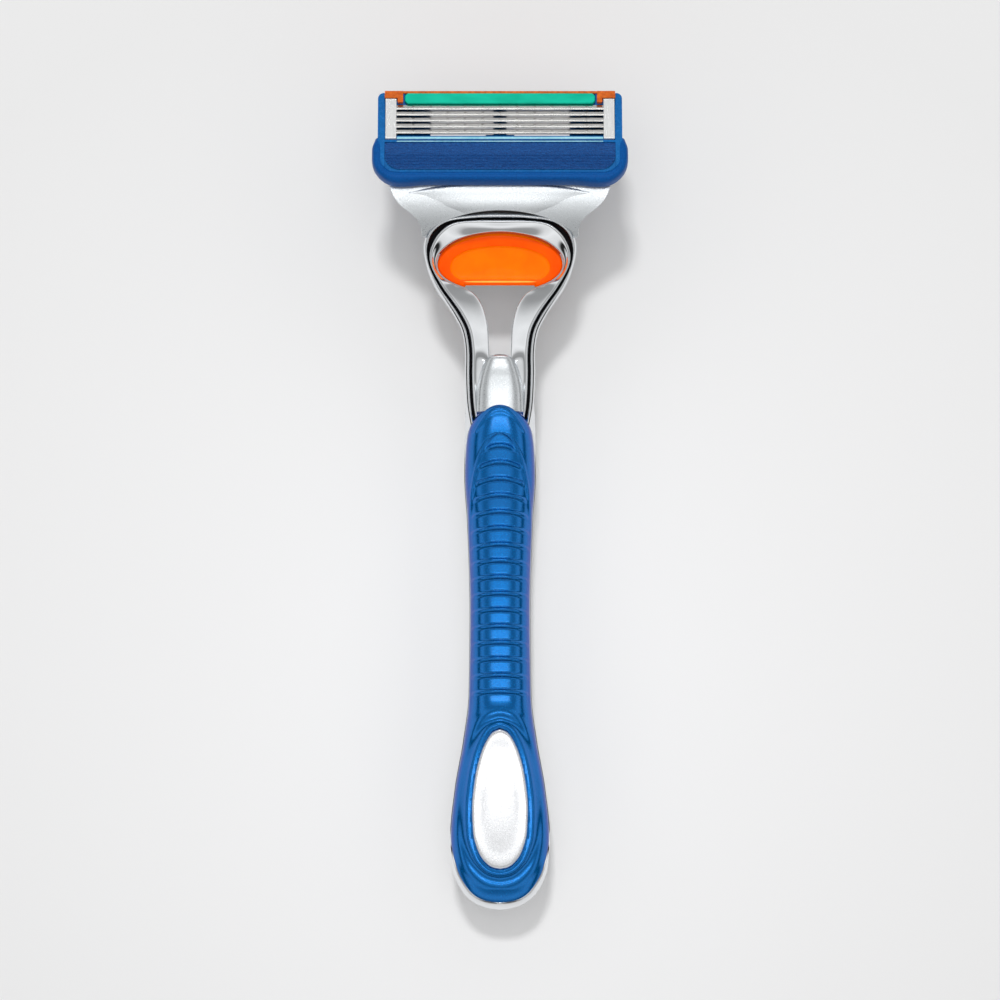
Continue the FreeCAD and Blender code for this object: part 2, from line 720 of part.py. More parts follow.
def pivot_lug():
    """The right lug, which takes the connecting member's pin."""
    start = ARM_TO + 0.2
    lug = fuse(
        [
            cylinder_x(LUG_RADIUS, start, LUG_END, 0, 0),
            box(start, LUG_END, -LUG_RADIUS, LUG_RADIUS, 0, 2.0),
        ]
    )
    outer = round_plate(
        HOUSING_HALF, CORE_FRONT, CAP_END, HOUSING_BACK, CORE_TOP, FRONT_RADIUS, CAP_RADIUS
    )
    return lug.common(outer)


def blade_housing():
    v0, v1 = WINDOW_FROM - 0.1, WINDOW_TO + 0.1
    # rinse-through floor: a middle strut and the two ends stay closed
    strut = box(-OPEN_FROM, OPEN_FROM, v0, v1, HOUSING_BACK, 0.3)
    end = box(OPEN_TO, WINDOW_HALF + 0.1, v0, v1, HOUSING_BACK, -1.4)
    shell = fuse([housing_frame(), strut, housing_cam()] + both_sides(end) + both_sides(pivot_lug()))
    cuts = both_sides(cylinder_x(PIN_RADIUS + GAP, ARM_TO, PIN_END + 0.3, 0, 0))
    for k in range(BLADE_COUNT):
        v0, v1 = edge_v(k) + BASE_FROM - SEAM, edge_v(k) + BASE_TO + SEAM
        low = BASE_LOW - BLADE_TRAVEL - 0.15
        cuts += both_sides(box(WINDOW_HALF - 0.1, BLADE_HALF + 0.2, v0, v1, low, 5))
    return cut(shell, cuts)


def blade_profile():
    """Blade strip in its own plane: length back from the edge, then height. The tip is bevelled."""
    bevel, length, half = 0.28, 0.93, 0.05
    return [(0, 0), (bevel, half), (length, half), (length, -half), (bevel, -half)]


def lean(points, k):
    """Turns (back, up) points down from the shaving plane about cutting edge k."""
    c, s = math.cos(BLADE_LEAN), math.sin(BLADE_LEAN)
    return [(edge_v(k) + a * c + b * s, FACE - a * s + b * c) for a, b in points]


def blade(k):
    return prism_x(lean(blade_profile(), k), -BLADE_HALF, BLADE_HALF)


def blade_support(k):
    """A bent strip: a leaning shelf under the blade and an upright in the housing's slots."""
    v0, v1 = edge_v(k) + BASE_FROM, edge_v(k) + BASE_TO
    shelf, shelf_end, under = lean([(0.33, -0.056), (0.95, -0.056), (0.33, -0.32)], k)
    upright = [(v1, shelf_end[1]), (v1, BASE_LOW), (v0, BASE_LOW), (v0, FACE - 0.585)]
    return prism_x([shelf] + upright + [under], -BLADE_HALF, BLADE_HALF)


def blade_spring_fingers():
    """Ten moulded fingers that press the supports up against the clips."""
    fingers = []
    for k in range(BLADE_COUNT):
        v0, v1 = edge_v(k) + BASE_FROM - 0.02, edge_v(k) + BASE_TO + 0.02
        top = BASE_LOW - 0.02
        shape = [
            (WINDOW_HALF, -1.35),
            (WINDOW_HALF, -0.6),
            (12.9, top),
            (12.2, top),
            (12.2, top - 0.35),
            (12.8, top - 0.4),
            (16.6, -1.35),
        ]
        fingers += both_sides(prism_y(shape, v0, v1))
    return Part.makeCompound(fingers)


def fin(k):
    """One ridge of the guard, thinner at its top."""
    v = FIN_FIRST + FIN_PITCH * k
    top = FACE + 0.05
    outline = [(v - 0.17, 2.8), (v + 0.17, 2.8), (v + 0.05, top), (v - 0.05, top)]
    return prism_x(outline, -FIELD_HALF, FIELD_HALF)


def guard_strip():
    """The elastomer bumper, wrapped round the front and sides, with its rows of fins."""
    wrap = round_plate(GUARD_HALF, GUARD_FRONT, GUARD_BACK, GUARD_LOW, FACE, 4.0, 0)
    rims = []
    for edge in wrap.Edges:
        bounds = edge.BoundBox
        level = bounds.ZMin > FACE - 1e-3 or bounds.ZMax < GUARD_LOW + 0.01
        if level and bounds.YMax < GUARD_BACK - 0.01:
            rims.append(edge)
    wrap = wrap.makeFillet(0.7, rims)
    core = round_plate(
        HOUSING_HALF + 0.02, CORE_FRONT - 0.02, 6, -5, 5, FRONT_RADIUS + 0.02, 0
    )
    bed = round_plate(FIELD_HALF, CORE_FRONT - 0.3, 3.46, BED_LOW, 2.85, 2.6, 0)
    field = round_plate(FIELD_HALF - 0.1, CORE_FRONT + 0.2, 3.6, 2, 4, 2.4, 0)
    fins = [fin(k).common(field) for k in range(FIN_COUNT)]
    return fuse([wrap.cut(core), bed] + fins)


def lubricating_strip():
    top = FACE + 0.1
    strip = box(-STRIP_HALF, STRIP_HALF, STRIP_FROM, STRIP_TO, STRIP_LOW, top)
    corners = [e for e in strip.Edges if e.BoundBox.ZLength > 0.5 and e.BoundBox.XLength < 1e-6]
    strip = strip.makeChamfer(0.45, corners)
    return strip.makeFillet(0.22, [e for e in strip.Edges if e.BoundBox.ZMin > top - 0.01])


TRIMMER_HALF = 19.25
TRIMMER_LOW = -2.6
HOOK_FROM, HOOK_LOW, HOOK_TOP = 16.2, 2.52, 3.35
TOOTH_PITCH, TOOTH_HALF, TEETH_EACH_SIDE = 1.6, 0.3, 10


def trimmer_carrier():
    """The orange back of the cap: a rear wall, a floor for the trimmer blade and corner hooks."""
    wall = box(-TRIMMER_HALF, TRIMMER_HALF, CAP_END + 0.02, 12.5, TRIMMER_LOW, 2.7)
    floor = box(-TRIMMER_HALF, TRIMMER_HALF, 10.2, 12.5, TRIMMER_LOW, HOUSING_BACK - 0.02)
    floor = cut(floor, both_sides(box(17.2, FAR, 5, 11.1, -5, 5)))
    hook = box(HOOK_FROM, TRIMMER_HALF, 11.1, 12.3, HOOK_LOW, HOOK_TOP)
    finger = box(HOOK_FROM, 17.1, 10.35, 11.3, HOOK_LOW, HOOK_TOP)
    shoe = box(17.7, TRIMMER_HALF, 10.2, 12.9, -3.1, -2.5)
    pieces = [wall, floor] + both_sides(hook) + both_sides(finger) + both_sides(shoe)
    for k in range(-TEETH_EACH_SIDE, TEETH_EACH_SIDE + 1):
        x = k * TOOTH_PITCH
        pieces.append(box(x - TOOTH_HALF, x + TOOTH_HALF, 12.4, 12.95, TRIMMER_LOW, -2.1))
    return fuse(pieces)


def trimmer_blade():
    outline = [(10.6, -2.64), (12.4, -2.64), (12.72, -2.74), (12.4, -2.8), (10.6, -2.8)]
    return prism_x(outline, -17.6, 17.6)


def clip(side):
    """An aluminium strap over the blade ends, with its two ends bent under the housing."""
    x0, x1 = (CLIP_FROM, CLIP_TO) if side > 0 else (-CLIP_TO, -CLIP_FROM)
    low = FACE + 0.04
    foot = HOUSING_BACK - 0.02
    strap = box(x0, x1, CLIP_GUARD_END, CLIP_CAP_END, low, low + CLIP_SHEET)
    ends = [e for e in strap.Edges if e.BoundBox.ZMin > low + 0.1 and e.BoundBox.YLength < 0.01]
    pieces = [strap.makeFillet(0.2, ends)]
    guard_leg, cap_leg = CLIP_GUARD_END + CLIP_SHEET, CLIP_CAP_END - CLIP_SHEET
    for v0, v1 in ((CLIP_GUARD_END, guard_leg), (cap_leg, CLIP_CAP_END)):
        pieces.append(box(x0, x1, v0, v1, foot - CLIP_SHEET, low + 0.1))
    for v0, v1 in ((CLIP_GUARD_END, guard_leg + 1.0), (CLIP_CAP_END - 1.0, CLIP_CAP_END)):
        pieces.append(box(x0, x1, v0, v1, foot - CLIP_SHEET, foot))
    return fuse(pieces)


# ---- the whole razor ----
def handle_parts():
    casing = loft_along_y(CASING_STATIONS)
    grip = grip_solid()
    fork = fork_body()
    bezel = loft_along_path(bezel_stations())
    insert = loft_along_y(INSERT_STATIONS, 2.4, 24)
    wider = [(y, half + SEAM, low - SEAM, high) for y, half, low, high in INSERT_STATIONS]
    insert_seat = loft_along_y(wider, 2.4, 24)
    seat = in_frame(dock_block()[0], HEAD)
    pocket = button_plate(
        BUTTON_GAP, BUTTON_LOW - 0.17, BUTTON_TOP + 0.15, BUTTON_TRAVEL + 0.1
    )
    pocket = in_frame(pocket, HEAD)
    arm_slots = in_frame(fuse(both_sides(pusher_arm(0.15, ARM_SLOT_END))), HEAD)
    pad = back_pad(casing)
    frame = casing.cut(above_parting()).fuse(fork)
    frame = cut(frame, [pad_prism(0.02, -5, PAD_TOP), insert_seat, pocket, arm_slots, seat])
    bezel = cut(bezel, [pocket, arm_slots, seat, grip, insert_seat])
    insert = cut(insert, [grip])
    badge_hole = egg_prism(SEAM)
    floor = badge_body(BADGE_SINK + BADGE_DEPTH)
    badge = badge_body(BADGE_SINK).common(egg_prism(0)).cut(floor)
    grip = grip.cut(badge_hole.cut(floor))
    return {
        "handle_casing": frame,
        "front_bezel": bezel,
        "neck_insert": insert,
        "front_grip": grip,
        "back_pad": pad,
        "badge": badge,
    }


def head_parts():
    upper, lower = dock_halves()
    return {
        "dock_upper": upper,
        "dock_lower": lower,
        "release_button": release_button(),
        "button_pusher": button_pusher(),
        "plunger": plunger(),
        "plunger_spring": plunger_spring(),
        "connecting_member": connecting_member(),
    }


def cartridge_parts():
    made = {
        "blade_housing": blade_housing(),
        "guard_strip": guard_strip(),
        "lubricating_strip": lubricating_strip(),
        "trimmer_carrier": trimmer_carrier(),
        "trimmer_blade": trimmer_blade(),
        "clip_left": clip(-1),
        "clip_right": clip(1),
        "blade_spring_fingers": blade_spring_fingers(),
    }
    for k in range(BLADE_COUNT):
        made[f"blade_{k + 1}"] = blade(k)
        made[f"blade_support_{k + 1}"] = blade_support(k)
    return made


def largest_solid(shape):
    """Drops slivers that a cut can leave beside the piece."""
    solids = sorted(shape.Solids, key=lambda s: s.Volume)
    return solids[-1]


MANY_SOLIDS = ("blade_spring_fingers",)


def build():
    parts = handle_parts()
    for name, shape in head_parts().items():
        parts[name] = in_frame(shape, HEAD)
    for name, shape in cartridge_parts().items():
        parts[name] = in_frame(shape, CARTRIDGE)
    for name in parts:
        if name not in MANY_SOLIDS:
            parts[name] = largest_solid(parts[name])
    whole = FreeCAD.BoundBox()
    for shape in parts.values():
        whole.add(shape.optimalBoundingBox(True, False))
    shift = Vector(0, -(whole.YMin + whole.YMax) / 2, 0)
    for shape in parts.values():
        shape.translate(shift)
    return parts, shift


def main():
    os.makedirs(OUT, exist_ok=True)
    parts, shift = build()
    for name, shape in parts.items():
        shape.exportStep(f"{OUT}/{name}.step")
        print(name, shape.isValid(), len(shape.Solids), round(shape.Volume, 2))
    print("shift", shift, "plunger travel", PLUNGER_TRAVEL)


if __name__ == "__main__":
    main()
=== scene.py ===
import json
import math

import bmesh
import bpy
import numpy as np
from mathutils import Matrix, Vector


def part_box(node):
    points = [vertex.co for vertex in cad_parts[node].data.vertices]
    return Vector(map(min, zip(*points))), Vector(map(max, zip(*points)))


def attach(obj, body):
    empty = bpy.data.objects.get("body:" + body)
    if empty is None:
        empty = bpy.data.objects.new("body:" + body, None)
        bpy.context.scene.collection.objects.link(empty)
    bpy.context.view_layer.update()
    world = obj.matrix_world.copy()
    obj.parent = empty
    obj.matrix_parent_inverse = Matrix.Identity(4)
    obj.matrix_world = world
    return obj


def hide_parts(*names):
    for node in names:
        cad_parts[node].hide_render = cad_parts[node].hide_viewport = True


# Cartridge razor lying on its back. Shapes are worked out in millimetres in the razor's own
# layout, where the tail is at y = TAIL_Y, and row() turns them into the frame's metres.

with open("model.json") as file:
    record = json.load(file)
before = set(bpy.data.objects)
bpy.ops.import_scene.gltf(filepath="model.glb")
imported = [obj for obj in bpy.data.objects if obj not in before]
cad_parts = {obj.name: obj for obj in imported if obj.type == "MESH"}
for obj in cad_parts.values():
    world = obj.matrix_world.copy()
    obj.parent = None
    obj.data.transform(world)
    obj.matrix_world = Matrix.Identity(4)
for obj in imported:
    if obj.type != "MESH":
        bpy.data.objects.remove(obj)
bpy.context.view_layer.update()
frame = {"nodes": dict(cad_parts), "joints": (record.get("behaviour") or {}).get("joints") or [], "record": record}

MM = 0.001
TAIL_Y = -70.3
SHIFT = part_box("handle_casing")[0].y / MM - TAIL_Y

JOINTS = {joint["name"]: joint for joint in frame["joints"]}
PIVOT = Vector(JOINTS["blade_unit_pivot"]["pos_m"]) / MM
DOCK_AXIS = Vector(JOINTS["cartridge_release"]["axis"])
DOCK_NORMAL = Vector((0, -DOCK_AXIS.z, DOCK_AXIS.y))
FACE_NORMAL = -Vector(JOINTS["blade_1_float"]["axis"])
FACE_BACK = Vector((0, FACE_NORMAL.z, -FACE_NORMAL.y))
PIVOT_S, PIVOT_N = 14.8, 2.2  # where the pivot lies in the head's own s and n
HEAD_ORIGIN = PIVOT - DOCK_AXIS * PIVOT_S - DOCK_NORMAL * PIVOT_N


def row(x, y, z):
    """A point of the handle's layout, in the frame's metres."""
    return Vector((x, y + SHIFT, z)) * MM


def head(x, s, n):
    """A point of the tilted head: s along the dock, n out through the button."""
    return (HEAD_ORIGIN + Vector((x, 0, 0)) + DOCK_AXIS * s + DOCK_NORMAL * n) * MM


def cart(x, v, w):
    """A point of the cartridge: v from the pivot towards the cap, w out of the face."""
    return (PIVOT + Vector((x, 0, 0)) + FACE_BACK * v + FACE_NORMAL * w) * MM


# ---- numbers and curves ----
def track(points):
    """A smooth function through (x, a, b, ...) points, with no overshoot between them."""
    table = np.array(sorted(points), float)
    x, values = table[:, 0], table[:, 1:]
    h = np.diff(x)[:, None]
    slopes = np.diff(values, axis=0) / h
    tangents = np.zeros_like(values)
    tangents[0], tangents[-1] = slopes[0], slopes[-1]
    left, right = slopes[:-1], slopes[1:]
    w1, w2 = 2 * h[1:] + h[:-1], h[1:] + 2 * h[:-1]
    same = left * right > 0
    with np.errstate(divide="ignore", invalid="ignore"):
        mean = (w1 + w2) / (w1 / left + w2 / right)
    tangents[1:-1] = np.where(same, mean, 0)

    def at(q):
        q = float(np.clip(q, x[0], x[-1]))
        k = int(np.clip(np.searchsorted(x, q) - 1, 0, len(x) - 2))
        span = x[k + 1] - x[k]
        t = (q - x[k]) / span
        a = (1 + 2 * t) * (1 - t) ** 2
        b = t * (1 - t) ** 2 * span
        c = t * t * (3 - 2 * t)
        d = t * t * (t - 1) * span
        return a * values[k] + b * tangents[k] + c * values[k + 1] + d * tangents[k + 1]

    return at


def flow(points, count):
    """count points along a smooth curve through the given points, evenly spaced along it."""
    table = np.array(points, float)
    gaps = np.linalg.norm(np.diff(table[:, :2], axis=0), axis=1)
    along = np.concatenate([[0], np.cumsum(gaps)])
    n = len(table)
    m = np.zeros_like(table)
    m[0] = (table[1] - table[0]) / gaps[0]
    m[-1] = (table[-1] - table[-2]) / gaps[-1]
    for k in range(1, n - 1):
        m[k] = (table[k + 1] - table[k - 1]) / (along[k + 1] - along[k - 1])
    result = []
    for q in np.linspace(0, along[-1], count):
        k = int(np.clip(np.searchsorted(along, q) - 1, 0, n - 2))
        span = along[k + 1] - along[k]
        t = (q - along[k]) / span
        result.append(
            (1 + 2 * t) * (1 - t) ** 2 * table[k]
            + t * (1 - t) ** 2 * span * m[k]
            + t * t * (3 - 2 * t) * table[k + 1]
            + t * t * (t - 1) * span * m[k + 1]
        )
    return np.array(result)


def ease(low, high, q):
    t = min(max((q - low) / (high - low), 0.0), 1.0)
    return t * t * (3 - 2 * t)


def bump(q, width):
    """A rounded ridge: 1 at q = 0, falling to 0 at q = +-width."""
    return math.cos(math.pi / 2 * q / width) ** 2 if abs(q) < width else 0.0


ROUNDNESS = 2.5


def hoop(half, low, high, angle, exponent=ROUNDNESS):
    """The point at an angle on a rounded rectangle, as (across, up)."""
    c, s = math.cos(angle), math.sin(angle)
    across = half * math.copysign(abs(c) ** (2 / exponent), c)
    up = (low + high) / 2 + (high - low) / 2 * math.copysign(abs(s) ** (2 / exponent), s)
    return across, up


# ---- meshes ----
def piece(name, vertices, faces, material, body, slot, smooth=True):
    mesh = bpy.data.meshes.new(name)
    mesh.from_pydata([tuple(v) for v in vertices], [], faces)
    mesh.validate()
    bm = bmesh.new()
    bm.from_mesh(mesh)
    bmesh.ops.remove_doubles(bm, verts=bm.verts, dist=1e-7)
    bmesh.ops.recalc_face_normals(bm, faces=bm.faces)
    bm.to_mesh(mesh)
    bm.free()
    for polygon in mesh.polygons:
        polygon.use_smooth = smooth
    obj = bpy.data.objects.new(name, mesh)
    bpy.context.scene.collection.objects.link(obj)
    mesh.materials.append(material)
    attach(obj, body)
    return obj


def skin(rings, closed=True):
    """Vertices and faces of a skin over rings of equally many points; closed rings get end caps."""
    n = len(rings[0])
    vertices = [p for ring in rings for p in ring]
    faces = []
    last = n if closed else n - 1
    for i in range(len(rings) - 1):
        for j in range(last):
            a, b = i * n + j, i * n + (j + 1) % n
            faces.append((a, b, b + n, a + n))
    if closed:
        faces.append(tuple(range(n)))
        faces.append(tuple(range((len(rings) - 1) * n, len(rings) * n)))
    return vertices, faces


def solid(shapes):
    """Joins several (vertices, faces) into one."""
    vertices, faces = [], []
    for more_vertices, more_faces in shapes:
        offset = len(vertices)
        vertices += more_vertices
        faces += [tuple(k + offset for k in face) for face in more_faces]
    return vertices, faces


def bevelled(obj, width_mm):
    """Rounds the sharp edges."""
    modifier = obj.modifiers.new("edges", "BEVEL")
    modifier.width = width_mm * MM
    modifier.segments = 2
    modifier.limit_method = "ANGLE"
    modifier.angle_limit = math.radians(35)
    modifier.harden_normals = False


def smooth_more(obj):
    """Splits every face once and smooths the result."""
    modifier = obj.modifiers.new("smooth", "SUBSURF")
    modifier.levels = 1
    modifier.render_levels = 1


def bar_x(place, points, half):
    """An (a, b) outline extruded along X, from -half to half."""
    return skin([[place(x, a, b) for a, b in points] for x in (-half, half)])


# ---- materials ----
MATERIALS = {}


def shader_of(material):
    return material.node_tree.nodes["Principled BSDF"]


def new_material(name, color, metallic, roughness, **sockets):
    """A plain material. Further sockets are given by name, with _ for each space."""
    material = bpy.data.materials.new(name)
    material.use_nodes = True
    shader = shader_of(material)
    shader.inputs["Base Color"].default_value = (*color, 1)
    shader.inputs["Metallic"].default_value = metallic
    shader.inputs["Roughness"].default_value = roughness
    for socket, value in sockets.items():
        shader.inputs[socket.replace("_", " ")].default_value = value
    MATERIALS[name] = material
    return material


def add(material, kind):
    return material.node_tree.nodes.new(kind)


def link(material, source, target):
    material.node_tree.links.new(source, target)


def noise(material, scale, detail=3.0, stretch=(1, 1, 1)):
    """Noise over the object's own coordinates, in repeats per metre."""
    coordinates = add(material, "ShaderNodeTexCoord")
    mapping = add(material, "ShaderNodeMapping")
    mapping.inputs["Scale"].default_value = stretch
    texture = add(material, "ShaderNodeTexNoise")
    texture.inputs["Scale"].default_value = scale
    texture.inputs["Detail"].default_value = detail
    texture.inputs["Roughness"].default_value = 0.55
    link(material, coordinates.outputs["Object"], mapping.inputs["Vector"])
    link(material, mapping.outputs["Vector"], texture.inputs["Vector"])
    return texture


def spread(material, source, low, high, start=0.3, end=0.7):
    """Maps a 0 to 1 output onto low to high."""
    node = add(material, "ShaderNodeMapRange")
    node.inputs["From Min"].default_value = start
    node.inputs["From Max"].default_value = end
    node.inputs["To Min"].default_value = low
    node.inputs["To Max"].default_value = high
    link(material, source, node.inputs["Value"])
    return node.outputs["Result"]


def vary_roughness(material, scale, low, high, stretch=(1, 1, 1)):
    texture = noise(material, scale, stretch=stretch)
    varied = spread(material, texture.outputs["Fac"], low, high)
    link(material, varied, shader_of(material).inputs["Roughness"])


def vary_color(material, scale, dark, light, stretch=(1, 1, 1)):
    texture = noise(material, scale, stretch=stretch)
    ramp = add(material, "ShaderNodeValToRGB")
    ramp.color_ramp.elements[0].position = 0.35
    ramp.color_ramp.elements[0].color = (*dark, 1)
    ramp.color_ramp.elements[1].position = 0.65
    ramp.color_ramp.elements[1].color = (*light, 1)
    link(material, texture.outputs["Fac"], ramp.inputs["Fac"])
    link(material, ramp.outputs["Color"], shader_of(material).inputs["Base Color"])


def add_bump(material, scale, strength, depth_mm):
    texture = noise(material, scale, detail=2.0)
    node = add(material, "ShaderNodeBump")
    node.inputs["Strength"].default_value = strength
    node.inputs["Distance"].default_value = depth_mm * MM
    link(material, texture.outputs["Fac"], node.inputs["Height"])
    link(material, node.outputs["Normal"], shader_of(material).inputs["Normal"])


def metal_materials():
    chrome = new_material("chrome", (0.83, 0.85, 0.87), 1.0, 0.06)
    vary_color(chrome, 160, (0.80, 0.82, 0.84), (0.86, 0.88, 0.90))
    vary_roughness(chrome, 260, 0.035, 0.10)
    satin = new_material("satin_metal", (0.66, 0.69, 0.71), 0.9, 0.3, Coat_Weight=0.1)
    vary_color(satin, 16000, (0.62, 0.65, 0.67), (0.74, 0.77, 0.79))
    vary_roughness(satin, 5000, 0.25, 0.36)
    add_bump(satin, 14000, 0.15, 0.006)
    silver = new_material("badge_silver", (0.82, 0.83, 0.85), 0.85, 0.3, Coat_Weight=0.3)
    vary_color(silver, 7000, (0.74, 0.75, 0.77), (0.90, 0.91, 0.93))
    vary_roughness(silver, 4000, 0.24, 0.36)
    weld = new_material("weld_steel", (0.34, 0.33, 0.32), 1.0, 0.4)
    vary_color(weld, 3000, (0.28, 0.27, 0.26), (0.40, 0.39, 0.37))
    vary_roughness(weld, 3500, 0.34, 0.5)
    blade = new_material("blade_steel", (0.72, 0.715, 0.70), 1.0, 0.16)
    vary_color(blade, 2500, (0.66, 0.655, 0.635), (0.76, 0.755, 0.735), stretch=(0.05, 1, 1))
    vary_roughness(blade, 4000, 0.12, 0.24, stretch=(0.05, 1, 1))
    support = new_material("support_steel", (0.55, 0.56, 0.57), 1.0, 0.28)
    vary_color(support, 2500, (0.48, 0.49, 0.50), (0.60, 0.61, 0.62), stretch=(0.08, 1, 1))
    vary_roughness(support, 3000, 0.22, 0.38, stretch=(0.08, 1, 1))
    aluminium = new_material("clip_aluminium", (0.92, 0.93, 0.93), 0.55, 0.25)
    vary_color(aluminium, 2500, (0.88, 0.89, 0.89), (0.95, 0.96, 0.96), stretch=(1, 0.06, 1))
    vary_roughness(aluminium, 3500, 0.18, 0.30, stretch=(1, 0.06, 1))
    spring = new_material("spring_steel", (0.60, 0.60, 0.61), 1.0, 0.25)
    vary_color(spring, 3000, (0.55, 0.55, 0.56), (0.66, 0.66, 0.67))
    vary_roughness(spring, 4000, 0.2, 0.35)


def blue_materials():
    gloss = {"Coat_Weight": 0.45, "Coat_Roughness": 0.12, "Specular_Tint": (0.02, 0.2, 0.5, 1)}
    blue = new_material("blue_elastomer", (0.0, 0.14, 0.48), 0.8, 0.3, **gloss)
    vary_color(blue, 5500, (0.0, 0.135, 0.46), (0.0, 0.18, 0.56))
    vary_roughness(blue, 3500, 0.19, 0.28)
    add_bump(blue, 7000, 0.15, 0.008)
    guard = new_material("guard_blue", (0.0, 0.08, 0.31), 0.1, 0.38, Specular_IOR_Level=0.15)
    vary_color(guard, 4200, (0.0, 0.065, 0.27), (0.0, 0.095, 0.36))
    vary_roughness(guard, 3000, 0.32, 0.48)
    add_bump(guard, 5200, 0.35, 0.02)
    # the guard's elastomer made darker for the fins: painted shade between the fins
    fins = new_material("fin_blue_shaded", (0.0, 0.05, 0.22), 0.1, 0.45, Specular_IOR_Level=0.3)
    vary_color(fins, 6200, (0.0, 0.028, 0.14), (0.006, 0.10, 0.36))
    vary_roughness(fins, 3000, 0.35, 0.5)
    add_bump(fins, 6000, 0.8, 0.04)
    housing = new_material("housing_blue", (0.0, 0.125, 0.40), 0.1, 0.26, Specular_IOR_Level=0.35)
    vary_color(housing, 900, (0.0, 0.115, 0.37), (0.0, 0.14, 0.44))
    vary_roughness(housing, 1800, 0.2, 0.32)
    # partly the light-blue plastic's own tint, partly a painted highlight standing for its glossy edge
    bar_tint_and_highlight = new_material("guard_bar", (0.30, 0.66, 0.80), 0.1, 0.25, Coat_Weight=0.2)
    vary_color(bar_tint_and_highlight, 1200, (0.25, 0.62, 0.76), (0.38, 0.74, 0.86), stretch=(0.2, 1, 1))
    vary_roughness(bar_tint_and_highlight, 1800, 0.2, 0.3)


def glowing_plastic(name, color, roughness, glow, strength):
    """Translucent orange plastic. A faint glow stands in for the light that comes through it."""
    return new_material(
        name,
        color,
        0.0,
        roughness,
        Specular_IOR_Level=0.12,
        Subsurface_Weight=0.4,
        Subsurface_Radius=(0.004, 0.0016, 0.0003),
        Subsurface_Scale=1.0,
        Emission_Color=(*glow, 1),
        Emission_Strength=strength,
    )


def orange_and_green_materials():
    orange = glowing_plastic("button_orange", (1.0, 0.09, 0.0), 0.24, (1.0, 0.10, 0.0), 0.28)
    vary_color(orange, 220, (0.98, 0.075, 0.0), (1.0, 0.105, 0.0))
    vary_roughness(orange, 900, 0.2, 0.28)
    # the dish is the button's plastic made lighter and glowing more: painted light
    dish = glowing_plastic("dish_orange_lit", (1.0, 0.15, 0.0), 0.22, (1.0, 0.20, 0.0), 0.30)
    vary_color(dish, 260, (1.0, 0.13, 0.0), (1.0, 0.17, 0.0))
    vary_roughness(dish, 900, 0.18, 0.26)
    # the lip's lighter orange and its glow are a painted highlight
    gloss_and_painted_glow = {"Coat_Weight": 0.5, "Emission_Color": (1, 0.4, 0.03, 1), "Emission_Strength": 0.25}
    lip = new_material("lip_orange_highlight", (1.0, 0.42, 0.04), 0.0, 0.15, **gloss_and_painted_glow)
    vary_color(lip, 400, (1.0, 0.38, 0.03), (1.0, 0.48, 0.06))
    core = new_material("orange_core", (0.85, 0.17, 0.01), 0.0, 0.45)
    vary_color(core, 900, (0.80, 0.15, 0.01), (0.88, 0.20, 0.015))
    vary_roughness(core, 1500, 0.38, 0.52)
    trimmer = new_material("trimmer_orange", (0.62, 0.12, 0.006), 0.0, 0.3, Specular_IOR_Level=0.35)
    vary_color(trimmer, 1800, (0.50, 0.085, 0.004), (0.74, 0.15, 0.010))
    vary_roughness(trimmer, 1500, 0.24, 0.38)
    green = new_material("strip_green", (0.0, 0.48, 0.31), 0.0, 0.42, Specular_IOR_Level=0.15)
    vary_color(green, 700, (0.0, 0.43, 0.28), (0.004, 0.54, 0.36), stretch=(0.3, 1, 1))
    vary_roughness(green, 2500, 0.36, 0.5)
    add_bump(green, 3500, 0.35, 0.02)


def dark_materials():
    # near-black colour for the fork's narrow gap: painted shade
    gap = new_material("gap_painted_shade", (0.012, 0.012, 0.014), 0.0, 0.5, Specular_IOR_Level=0.1)
    vary_color(gap, 1500, (0.008, 0.008, 0.010), (0.016, 0.016, 0.018))
    grey = new_material("dock_grey", (0.10, 0.105, 0.11), 0.0, 0.5)
    vary_color(grey, 1500, (0.085, 0.09, 0.095), (0.12, 0.125, 0.13))
    vary_roughness(grey, 2500, 0.42, 0.6)
    add_bump(grey, 6000, 0.3, 0.01)


metal_materials()
blue_materials()
orange_and_green_materials()
dark_materials()


def dress_cad_nodes():
    """Every CAD node takes its slot's material, and six of them get rounded edges."""
    slots = {s["node"]: s["material_slot"] for s in frame["record"]["subparts"]}
    for name, obj in frame["nodes"].items():
        obj.data.materials.clear()
        obj.data.materials.append(MATERIALS[slots[name]])
    for name, width in (
        ("blade_housing", 0.12),
        ("trimmer_carrier", 0.12),
        ("lubricating_strip", 0.06),
        ("clip_left", 0.05),
        ("clip_right", 0.05),
        ("back_pad", 0.15),
    ):
        bevelled(frame["nodes"][name], width)


# ---- the handle's shape ----
CASING = track(  # y, half width, low z, high z
    [
        (TAIL_Y, 0.5, 7.7, 8.4),
        (-70.0, 2.2, 6.9, 9.2),
        (-69.0, 4.5, 5.7, 10.5),
        (-67.0, 6.5, 4.4, 11.6),
        (-63.0, 8.1, 2.9, 12.5),
        (-58.0, 8.45, 1.9, 12.9),
        (-50.0, 7.7, 1.0, 12.6),
        (-42.0, 6.3, 0.4, 11.8),
        (-34.0, 5.35, 0.05, 11.0),
        (-20.0, 5.2, 0.0, 10.6),
        (-5.0, 5.6, 0.05, 10.8),
        (3.0, 6.1, 0.5, 11.0),
        (9.0, 6.1, 1.3, 10.2),
        (12.0, 6.05, 1.9, 9.2),
        (16.0, 5.8, 3.2, 8.4),
        (19.0, 5.0, 5.0, 8.0),
        (20.8, 3.9, 6.2, 7.7),
        (21.6, 2.4, 6.6, 7.4),
    ]
)
